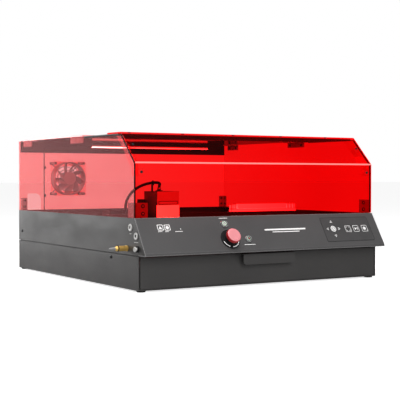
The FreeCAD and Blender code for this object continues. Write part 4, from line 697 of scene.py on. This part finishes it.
def triangle(cx, cy, size, turn):
    """An even triangle that points up before its turn, in degrees."""
    points = []
    for corner in (90, 210, 330):
        a = math.radians(corner + turn)
        points.append((cx + size * math.cos(a), cy + size * math.sin(a)))
    return points


def square_line(bm, place, cx, cy, half, width, height, material):
    """A rounded square drawn as one thin line."""
    frame_strip(bm, rounded_outline(half, half, half * 0.3, 4, (cx, cy)),
                rounded_outline(half - width, half - width, half * 0.22, 4, (cx, cy)), place, height,
                height + HAIR, material)


def keypad():
    """A touch overlay: a thin plate with a dark border line, an arrow pad and three square keys."""
    place = on_panel(*KEYPAD_AT)
    bm = bmesh.new()
    face = 0.42
    slab(bm, rounded_outline(62, 28, 4), place, 0.0, face)
    frame_strip(bm, rounded_outline(62, 28, 4), rounded_outline(61.1, 27.1, 3.3), place, face, 0.5, 2)
    pad = (-36.0, 1.5)
    raised = face + HAIR
    slab(bm, circle(6.6, 36, pad), place, face, raised, 1)
    frame_strip(bm, circle(4.9, 40, pad), circle(4.2, 40, pad), place, raised, raised + HAIR, 2)
    for dx, dy, turn in ((0, 1, 0), (0, -1, 180), (1, 0, 270), (-1, 0, 90)):
        arrow = (pad[0] + 14.2 * dx, pad[1] + 16.2 * dy)
        slab(bm, triangle(pad[0] + 2.3 * dx, pad[1] + 2.3 * dy, 1.2, turn), place, raised, raised + HAIR, 2)
        slab(bm, triangle(*arrow, 3.6, turn), place, face, raised, 1)
        slab(bm, triangle(*arrow, 1.9, turn), place, raised, raised + HAIR, 2)
    key_y = 0.4
    for cx, kind in ((2.0, "frame"), (23.0, "run"), (45.5, "stop")):
        square_line(bm, place, cx, key_y, 7.4, 0.8, face, 1)
        if kind == "frame":
            bend = [(4.6, 4.6), (1.8, 4.6), (1.8, 3.9), (3.9, 3.9), (3.9, 1.8), (4.6, 1.8)]
            for sx, sy in CORNERS:
                slab(bm, [(cx + sx * x, key_y + sy * y) for x, y in bend], place, face, raised, 1)
        elif kind == "run":
            slab(bm, triangle(cx - 1.6, key_y, 3.6, 270), place, face, raised, 1)
            for x in (cx + 2.6, cx + 4.2):
                bar = [(x, key_y - 3), (x + 0.8, key_y - 3), (x + 0.8, key_y + 3), (x, key_y + 3)]
                slab(bm, bar, place, face, raised, 1)
        else:
            slab(bm, circle(3.6, 36, (cx, key_y)), place, face, raised, 1)
    finish_piece(bm, "keypad_plate", "chassis", ["keypad", "print_white", "keypad_line"])


def panel_marks():
    """Generic printed marks: two pictograms with plain captions, caption bars, and a stripe in the middle."""
    place = on_panel(0, 0)
    bm = bmesh.new()
    square_line(bm, place, -235.7, -20.8, 6.2, 1.3, 0.0, 0)
    slab(bm, triangle(-235.7, -21.8, 4.2, 0), place, 0.0, HAIR)
    square_line(bm, place, -221.0, -21.2, 6.2, 1.3, 0.0, 0)
    slab(bm, circle(3.4, 36, (-221.0, -21.2)), place, 0.0, HAIR)
    slab(bm, circle(1.0, 16, (-193.5, -25.0)), place, 0.0, HAIR)
    captions = ((-238.2, 29.4, 4.5), (-224.0, 29.8, 4.0), (-198.5, 30.2, 8.0), (-92.8, 4.2, 9.5),
                (-51.2, 63.6, 12.5))
    for cx, down, half in captions:
        slab(bm, rounded_outline(half, 0.55, 0.5, 3, (cx, -down)), place, 0.0, HAIR)
    slab(bm, rounded_outline(50, 1.7, 1.6, 4, (44, -32.6)), place, 0.0, HAIR)
    slab(bm, rounded_outline(33, 0.8, 0.75, 4, (44, -38.0)), place, 0.0, HAIR)
    finish_piece(bm, "panel_print", "chassis", "print_white")


# ==== Left wall ====

WALL = -282.0


def on_left(y, z, out=0.0):
    """A placement on the left wall, Z away from it, in mm."""
    return aimed(Vector((WALL - out, y, z)) * MM, (-1, 0, 0), (0, 1, 0))


def wall_sockets():
    """Two round white sockets, each with a caption bar above it."""
    for index, (y, z, caption) in enumerate(((-263.0, 118.0, 3.6), (-285.3, 103.0, 8.0)), start=1):
        place = on_left(y, z)
        bm = bmesh.new()
        turned(bm, [(2.7, -9), (2.7, 1.2), (3.2, 1.8), (6.1, 2.0), (6.6, 1.6), (6.75, 1.0), (6.75, 0),
                    (4.5, 0), (4.5, -9)], place, 48, True)
        turned(bm, [(0, -3.5, 1), (2.65, -3.4, 1), (2.65, 0.9, 1), (2.6, -8.8, 1), (0, -8.8, 1)], place, 36)
        turned(bm, [(0, 0.1), (0.7, 0.0, 2), (0.8, -0.5, 2), (0.8, -3.45, 2), (0, -3.45, 2)], place, 18)
        slab(bm, rounded_outline(caption, 0.5, 0.45, 3, (0, 11.5)), place, 0.0, HAIR)
        finish_piece(bm, f"side_socket_{index}", "chassis",
                     ["white_plastic", "black_plastic", "bright_steel"])


def power_switch():
    place = on_left(-291.3, 79.5)
    bm = bmesh.new()
    turned(bm, [(3.4, -10), (3.4, 2.6), (3.8, 3.0), (5.2, 3.0), (5.8, 2.4), (6, 1.6), (6, 0), (4, 0),
                (4, -10)], place, 40, True)
    finish_piece(bm, "power_ring", "chassis", "black_plastic")
    bm = bmesh.new()
    turned(bm, [(0, -3.5), (3.32, -3.5), (3.32, 5.5), (4.6, 5.5), (5, 5.8), (5, 6.4), (4.6, 6.9), (3.4, 7.0),
                (3.1, 6.7), (0, 6.6)], place, 40)
    finish_piece(bm, "power_cap_turned", "power_cap", "white_plastic")


def air_fitting():
    """A brass barb with a hexagon collar and ribs, an O-ring, and the pale end of its hose."""
    place = on_left(-249.0, 79.0)
    bm = bmesh.new()
    turned(bm, [(0, 0.02), (6.2, 0.02), (6.2, 2.1), (5.6, 2.5), (0, 2.5)], place, 6)
    ribs = []
    for index in range(5):
        foot = 4.2 + index * 2.7
        ribs += [(5.0, foot), (5.0, foot + 2.0), (4.75, foot + 2.2), (4.75, foot + 2.5)]
    nose = [(5, 18), (5, 18.4), (4.6, 18.6), (4.6, 20.4), (5, 20.6), (5, 21.5), (3, 25), (0, 25)]
    turned(bm, [(0, 2.4), (4.4, 2.4), (4.4, 4.0)] + ribs + nose, place, 48)
    thread = [(3.5 - 0.4 * (index % 2), -0.6 * index) for index in range(11)]
    turned(bm, thread + [(3.5, -8), (0, -8)], place, 32)
    ring = [(5.1 + 0.8 * x, 19.5 + y, 1) for x, y in circle(1.0, 12)]
    turned(bm, ring, place, 40, True)
    turned(bm, [(0, 25), (2.9, 25, 2), (2.7, 28, 2), (2.75, 28.4, 2), (2.2, 32, 2), (2.25, 32.4, 2),
                (1.5, 36.6, 2), (0, 37, 2)], place, 32)
    finish_piece(bm, "air_fitting_turned", "chassis", ["brass", "black_rubber", "hose_grey"])


# ==== Screws, magnets and feet ====

def screw_head(bm, place, radius, height, segments=24):
    """A domed head, in mm, with a hexagon socket."""
    turns = [2 * math.pi * index / segments for index in range(segments)]
    loops = []
    for share, level in ((1.0, 0.02), (1.0, 0.45 * height), (0.9, 0.8 * height), (0.68, height)):
        loops.append([(radius * share * math.cos(a), radius * share * math.sin(a), level) for a in turns])
    for share, level in ((0.44, height), (0.42, 0.4 * height)):
        hexagon = []
        for a in turns:
            reach = radius * share / math.cos((a + math.pi / 6) % (math.pi / 3) - math.pi / 6)
            hexagon.append((reach * math.cos(a), reach * math.sin(a), level))
        loops.append(hexagon)
    lofted(bm, loops, place)


def screws(node, name, body, finish):
    """One detailed head for each plain head of a node, facing out from the wall it sits on."""
    bm = bmesh.new()
    for low, high in solids(node):
        size = high - low
        centre = (low + high) / 2
        axis = min(range(3), key=lambda i: size[i])
        if max(size) > 4 * min(size) or size[axis] < 0.7 * sorted(size)[1]:
            out = Vector((0, 0, 0))
            out[axis] = 1.0 if centre[axis] >= 0 or axis == 2 else -1.0
            if node == "chassis_screws" and abs(centre.x) < 0.281 and axis == 0:
                out[0] = -out[0]
            if node == "chassis_screws" and centre.y < 0.2925 and axis == 1 and centre.y > 0:
                out[1] = -1.0
            at = centre - out * size[axis] / 2
            screw_head(bm, aimed(at, out), sorted(size)[1] / 2 / MM, size[axis] / MM)
        else:
            out = Vector((0, -0.7071, 0.7071))
            screw_head(bm, aimed(centre - out * 0.0007, out), 2.6, 1.4)
    finish_piece(bm, name, body, finish)


def magnets():
    bm = bmesh.new()
    for low, high in solids("lid_magnets"):
        centre = (low + high) / 2
        place = aimed((centre.x, high.y, centre.z), (0, -1, 0))
        # Each disc's pale centre is a painted highlight on the black magnet.
        turned(bm, [(0, 1.15), (0.7, 1.1, 1), (1.3, 0.8, 1), (1.6, 1.15), (3.0, 1.2), (3.5, 0.9), (3.6, 0.0),
                    (0, 0.0)], place, 36)
    finish_piece(bm, "magnet_discs", "chassis", ["black_plastic", "print_white"])


def feet():
    for index, (low, high) in enumerate(solids("base_feet"), start=1):
        centre = (low + high) / 2
        place = aimed((centre.x, centre.y, 0), (0, 0, 1))
        radius = (high.x - low.x) / 2 / MM
        bm = bmesh.new()
        turned(bm, [(0, 0.5), (2.2, 0.5), (2.6, 0.0), (radius - 1.4, 0.0), (radius - 1.0, 0.4),
                    (radius - 0.2, 2.0), (radius, 2.6), (radius, 3.0), (0, 3.0)], place, 40)
        finish_piece(bm, f"foot_{index}", "chassis", "black_rubber")


# ==== Fans ====

def blade_set(bm, place, hub, reach, depth, count, lean, sweep):
    """Curved, twisted blades from hub to reach; depth is along the spin axis. All in mm and degrees."""
    rows = 7
    for number in range(count):
        base = 2 * math.pi * number / count
        sides = []
        for offset in (0.5, -0.5):
            grid = []
            for row in range(rows):
                share = row / (rows - 1)
                radius = hub - 0.6 + (reach - hub + 0.6) * share
                tilt = math.radians(lean * (1 - 0.35 * share))
                around = base + math.radians(sweep) * share
                line = []
                for column in range(5):
                    along = (column / 4 - 0.5) * depth
                    curl = math.sin(math.pi * column / 4) * depth * 0.08
                    angle = around + (along * math.tan(tilt) + curl + offset) / radius
                    line.append(bm.verts.new(place @ Vector((radius * math.cos(angle) * MM,
                                                             radius * math.sin(angle) * MM,
                                                             (depth / 2 + along) * MM))))
                grid.append(line)
            sides.append(grid)
        front, back = sides
        for row in range(rows - 1):
            for column in range(4):
                for grid in sides:
                    bm.faces.new([grid[row][column], grid[row + 1][column], grid[row + 1][column + 1],
                                  grid[row][column + 1]])
            for column in (0, 4):
                bm.faces.new([front[row][column], front[row + 1][column], back[row + 1][column],
                              back[row][column]])
        for row in (0, rows - 1):
            for column in range(4):
                bm.faces.new([front[row][column], front[row][column + 1], back[row][column + 1],
                              back[row][column]])


def square_duct(bm, place, half, corner, bore, low, high):
    """A square block with a round hole through it, between two heights."""
    outer = rounded_outline(half, half, corner, 9)
    inner = []
    for x, y in outer:
        reach = math.hypot(x, y)
        inner.append((bore * x / reach, bore * y / reach))
    frame_strip(bm, outer, inner, place, low, high)


FAN_SCREW = 0.03575


def on_fan(y):
    """A placement on the exhaust fan's axis, Z towards the rear."""
    return aimed((-0.165, y, 0.208), (0, 1, 0), (1, 0, 0))


def exhaust_fan():
    """The fan behind the rear panel's opening: clear square flanges, a grey duct, struts, rotor and guard."""
    place = on_fan(0.266)
    bm = bmesh.new()
    for low, high in ((0.0, 3.0), (22.0, 25.0)):
        square_duct(bm, place, 40, 4, 38.6, low, high)
    finish_piece(bm, "exhaust_fan_flanges", "chassis", "acrylic_rear")
    bm = bmesh.new()
    turned(bm, [(37.5, 0), (39.0, 0), (39.0, 25), (37.5, 25)], place, 72, True)
    for sx, sy in CORNERS:
        post = place @ Matrix.Translation((sx * FAN_SCREW, sy * FAN_SCREW, 0))
        turned(bm, [(2.1, 3.0), (3.4, 3.0), (3.4, 22), (2.1, 22)], post, 20, True)
    turned(bm, [(0, 22.6), (15.75, 22.6), (15.75, 24.6), (15.2, 25), (0, 25)], place, 48)
    for turn in range(4):
        spoke = place @ Matrix.Rotation(math.radians(90 * turn), 4, "Z")
        block(bm, (0.0150, -0.0016, 0.0226), (0.0381, 0.0016, 0.0249), 0.0004, spoke)
    finish_piece(bm, "exhaust_fan_duct", "chassis", "fan_grey")
    bm = bmesh.new()
    turned(bm, [(0, 0.4), (5, 0.4), (5.3, 0.0), (14.2, 0.0), (15.2, 0.7), (15.5, 1.8), (15.5, 16.6), (15, 17),
                (0, 17)], on_fan(0.2685), 56)
    blade_set(bm, on_fan(0.2685), 15.5, 36.3, 17, 9, 40, 16)
    finish_piece(bm, "exhaust_fan_blades", "exhaust_rotor", "fan_grey")
    guard = on_fan(0.294)
    bm = bmesh.new()
    for radius in (12, 20, 28, 36):
        wire = [guard @ (Vector((x, y, 1.2)) * MM) for x, y in circle(radius, 64)]
        swept(bm, wire, lambda share: 0.0008, 8, True)
    for turn in (45, 135):
        bar = guard @ Matrix.Rotation(math.radians(turn), 4, "Z")
        block(bm, (-0.053, -0.0010, 0.0001), (0.053, 0.0010, 0.0022), 0.0005, bar)
    for sx, sy in CORNERS:
        boss = guard @ Matrix.Translation((sx * FAN_SCREW, sy * FAN_SCREW, 0))
        turned(bm, [(0, 1.6), (1.4, 1.6), (1.6, 2.4), (3.0, 2.5), (3.5, 2.1), (3.6, 0), (0, 0)], boss, 24)
    finish_piece(bm, "exhaust_fan_guard", "chassis", "screw_black")


def head_fan():
    rotor = aimed((-0.163, -0.1675, 0.1713), (0, 0, 1), (1, 0, 0))
    bm = bmesh.new()
    turned(bm, [(0, 0), (8.4, 0), (8.4, 5.6), (7.9, 6.2), (3.2, 6.2), (3.0, 6.0), (0, 6.0)], rotor, 40)
    blade_set(bm, rotor, 8.4, 17.6, 6.1, 7, 36, 14)
    finish_piece(bm, "head_fan_blades", "head_fan", "black_plastic")


# ==== Drives ====

TOOTH = 2.0
PULLEY_RADIUS = 6.37


def toothed_belt(bm, centres, radius, low, high, place):
    """A closed belt round two equal pulleys: the back, and teeth inside. Heights and radius in mm."""
    (x0, y0), (x1, y1) = centres
    span = Vector((x1 - x0, y1 - y0))
    straight = span.length
    way = span.normalized()
    side = Vector((-way.y, way.x))
    arc = math.pi * radius
    total = 2 * (straight + arc)
    count = int(total / TOOTH) * 4

    def spot(travel):
        if travel < straight:
            return Vector((x0, y0)) + side * radius + way * travel, side
        travel -= straight
        if travel < arc:
            a = travel / radius
            out = side * math.cos(a) + way * math.sin(a)
            return Vector((x1, y1)) + out * radius, out
        travel -= arc
        if travel < straight:
            return Vector((x1, y1)) - side * radius - way * travel, -side
        a = (travel - straight) / radius
        out = -side * math.cos(a) - way * math.sin(a)
        return Vector((x0, y0)) + out * radius, out

    outer, inner = [], []
    for index in range(count):
        at, out = spot(total * index / count)
        deep = 0.60 if index % 4 in (1, 2) else 0.0
        back = at + out * 0.7
        front = at - out * (0.05 + deep)
        outer.append((back.x, back.y))
        inner.append((front.x, front.y))
    frame_strip(bm, outer, inner, place, low, high)


def belts():
    level = Matrix.Identity(4)
    bm = bmesh.new()
    toothed_belt(bm, ((-226, -82), (226, -82)), PULLEY_RADIUS, 104.4, 110.4, level)
    finish_piece(bm, "x_belt_toothed", "gantry", "black_rubber")
    for index, x in enumerate((-0.228, 0.228), start=1):
        upright = aimed((x, 0, 0), (1, 0, 0), (0, 1, 0))
        bm = bmesh.new()
        toothed_belt(bm, ((-254, 88), (268, 88)), PULLEY_RADIUS, -3, 3, upright)
        finish_piece(bm, f"y_belt_toothed_{index}", "chassis", "black_rubber")


# ==== Gantry, head and cable ====

def gantry_bar():
    """The pale diffuser bar on the beam with its white collar, dark end cap and white blocks."""
    found = solids("light_bar")
    bm = bmesh.new()
    for low, high in found:
        wide = high.x - low.x
        if wide > 0.16:
            block(bm, (0.036, low.y, 0.137), (0.206, high.y, 0.1431), 0.0008, None, 2)
            block(bm, (0.036, low.y, 0.1429), (0.044, high.y, 0.1525), 0.0012, None, 2)
        elif wide > 0.1:
            block(bm, low, high, 0.0016, None, 0, 3)
        else:
            block(bm, low, high, 0.0009, None, 1)
    finish_piece(bm, "gantry_light_bar", "gantry", ["light_bar", "white_plastic", "aluminium_black"])


def lid_switch():
    """The black microswitch on the left bracket under the top, with its lever and two screws."""
    bm = bmesh.new()
    block(bm, (-0.2758, -0.0212, 0.2818), (-0.2674, -0.0058, 0.2917), 0.0007)
    block(bm, (-0.2740, -0.0220, 0.2806), (-0.2692, -0.0090, 0.2811), 0.0002, None, 1)
    for y in (-0.0175, -0.0095):
        turned(bm, [(0, 0), (1.1, 0), (1.1, 0.5), (0, 0.5)], aimed((-0.2674, y, 0.2867), (1, 0, 0)), 18)
    finish_piece(bm, "lid_switch", "chassis", ["black_plastic", "bright_steel"])


def module_front():
    """The upper front of the module's cover: a plate painted pale and emitting a little light, as painted
    light on the cover's dark front, and a plain bar in a dark frame at its foot.
    """
    place = aimed((-0.163, -0.194, 0.1695), (0, -1, 0), (1, 0, 0))
    bm = bmesh.new()
    slab(bm, rounded_outline(24.6, 13.3, 1.2, 4), place, 0.0, 0.25)
    foot = (0, -8.9)
    frame_strip(bm, rounded_outline(21.5, 3.6, 1.0, 4, foot), rounded_outline(20.5, 2.6, 0.7, 4, foot), place,
                0.25, 0.4, 1)
    slab(bm, rounded_outline(17.0, 1.3, 0.8, 4, foot), place, 0.25, 0.4, 2)
    finish_piece(bm, "module_front_plate", "laser_module", ["cover_front", "black_plastic", "print_white"])
    bm = bmesh.new()
    collar = aimed((-0.168, -0.166, 0.1871), (0.143, 0.114, 0.983))
    turned(bm, [(3.1, 0), (4.2, 0), (4.2, 2.2), (3.9, 2.6), (3.1, 2.6)], collar, 32, True)
    finish_piece(bm, "cable_ferrule", "laser_module", "brass")


def nozzle():
    place = aimed((-0.163, -0.1675, 0.086), (0, 0, 1))
    bm = bmesh.new()
    knurl = []
    for index in range(5):
        knurl += [(11, 6.2 + index * 1.3), (11, 6.8 + index * 1.3), (10.7, 7.0 + index * 1.3),
                  (10.7, 7.3 + index * 1.3)]
    turned(bm, [(5, 13), (5, 0.4), (5.4, 0), (6.6, 0), (7, 0.3), (10.9, 4.9), (11, 5.4)] + knurl
           + [(11, 12.9), (11, 14), (5.4, 14)], place, 56, True)
    turned(bm, [(0, 4.2), (3.4, 4.3, 1), (4.95, 4.6, 1), (4.95, 5.4, 1), (0, 5.4, 1)], place, 36)
    finish_piece(bm, "lens_nozzle_turned", "laser_module", ["aluminium", "bright_steel"])


CABLE_ROUTE = (
    (-0.2210, -0.1245, 0.1470), (-0.2210, -0.1245, 0.1590), (-0.2145, -0.1250, 0.1725),
    (-0.2035, -0.1260, 0.1850), (-0.1885, -0.1290, 0.1940), (-0.1730, -0.1345, 0.1990),
    (-0.1605, -0.1435, 0.2005), (-0.1610, -0.1572, 0.1985), (-0.1670, -0.1652, 0.1935),
    (-0.1680, -0.1660, 0.1870),
)
CABLE_RADIUS = 0.0030
RIB_PITCH = 0.0017


def smooth_run(route, per_bend=48):
    """Points along the smooth line drawn by a route: straight at its ends, tangent to each leg's middle."""
    points = [Vector(p) for p in route]
    joints = [points[0]] + [(a + b) / 2 for a, b in zip(points[1:-1], points[2:-1])] + [points[-1]]
    line = []
    for start, corner, end in zip(joints, points[1:-1], joints[1:]):
        for step in range(per_bend):
            t = step / per_bend
            line.append(start * (1 - t) ** 2 + corner * 2 * t * (1 - t) + end * t ** 2)
    line.append(points[-1])
    return line


def even_run(line, step):
    """The same line with points a fixed step apart."""
    lengths = [0.0]
    for a, b in zip(line, line[1:]):
        lengths.append(lengths[-1] + (b - a).length)
    count = round(lengths[-1] / step)
    points = []
    index = 0
    for number in range(count + 1):
        travel = lengths[-1] * number / count
        while index < len(line) - 2 and lengths[index + 1] < travel:
            index += 1
        part = (travel - lengths[index]) / (lengths[index + 1] - lengths[index])
        points.append(line[index].lerp(line[index + 1], part))
    return points, lengths[-1]


def laser_cable():
    """The ribbed sleeve from the gland, through the clip, to the socket on the module."""
    points, length = even_run(smooth_run(CABLE_ROUTE), RIB_PITCH / 6)
    bm = bmesh.new()

    def radius_at(share):
        return CABLE_RADIUS - 0.00026 * (0.5 - 0.5 * math.cos(2 * math.pi * share * length / RIB_PITCH))

    swept(bm, points, radius_at, 14)
    cable = finish_piece(bm, "laser_cable_sleeve", None, "cable_black")
    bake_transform(cable)


# The CAD nodes that are not shown, each with the pieces that stand for it.
STANDS_FOR = {
    "button_bezels": ["start_ring", "reset_ring", "power_ring"],
    "start_button": ["start_cap_turned"],
    "reset_button": ["reset_cap_turned"],
    "power_button": ["power_cap_turned"],
    "stop_collar": ["stop_collar_turned"],
    "stop_cap": ["stop_cap_turned"],
    "stop_plunger": ["stop_plunger_turned"],
    "keypad_overlay": ["keypad_plate"],
    "side_sockets": ["side_socket_1", "side_socket_2"],
    "air_fitting": ["air_fitting_turned"],
    "chassis_screws": ["chassis_screw_heads"],
    "lid_screws": ["lid_screw_heads"],
    "lid_magnets": ["magnet_discs"],
    "base_feet": ["foot_1", "foot_2", "foot_3", "foot_4"],
    "exhaust_fan_frame": ["exhaust_fan_flanges", "exhaust_fan_duct", "exhaust_fan_guard"],
    "exhaust_fan_rotor": ["exhaust_fan_blades"],
    "head_fan_rotor": ["head_fan_blades"],
    "x_belt": ["x_belt_toothed"],
    "y_belts": ["y_belt_toothed_1", "y_belt_toothed_2"],
    "light_bar": ["gantry_light_bar"],
    "lens_nozzle": ["lens_nozzle_turned"],
    "laser_cable": ["laser_cable_sleeve"],
}


def build_pieces():
    ring_button("start_ring", START_AT, 8.0, "start_cap_turned", "start_cap", "print_white")
    ring_button("reset_ring", RESET_AT, 7.0, "reset_cap_turned", "reset_cap", "red_dot")
    emergency_stop()
    keypad()
    panel_marks()
    wall_sockets()
    power_switch()
    air_fitting()
    screws("chassis_screws", "chassis_screw_heads", "chassis", "screw_black")
    screws("lid_screws", "lid_screw_heads", "lid", "screw_black")
    magnets()
    feet()
    exhaust_fan()
    head_fan()
    belts()
    gantry_bar()
    lid_switch()
    module_front()
    nozzle()
    laser_cable()
    for node, pieces in STANDS_FOR.items():
        for piece in pieces:
            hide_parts(node)


def make_floor():
    """A pale studio floor that runs out of sight."""
    g = Graph("studio_floor")
    tone = g.mixed(g.span(g.noise(3, 3), 0.3, 0.7, 0.0, 1.0), (0.84, 0.84, 0.84, 1), (0.86, 0.86, 0.86, 1))
    seen = g.node("ShaderNodeLightPath").outputs["Is Camera Ray"]
    g.surface(tone, 0.9, Emission_Color=(1, 1, 1, 1),
              Emission_Strength=g.span(seen, 0.0, 1.0, FLOOR_BOUNCE, FLOOR_SEEN))
    g.feed(g.shader.inputs["Base Color"], g.mixed(seen, (0.32, 0.32, 0.32, 1), tone))
    bm = bmesh.new()
    bmesh.ops.create_grid(bm, x_segments=2, y_segments=2, size=40)
    mesh = bpy.data.meshes.new("studio_floor")
    bm.to_mesh(mesh)
    bm.free()
    floor = bpy.data.objects.new("studio_floor", mesh)
    mesh.materials.append(g.material)
    bpy.context.scene.collection.objects.link(floor)


make_camera()
light_studio()
make_floor()
dress_cad()
build_pieces()
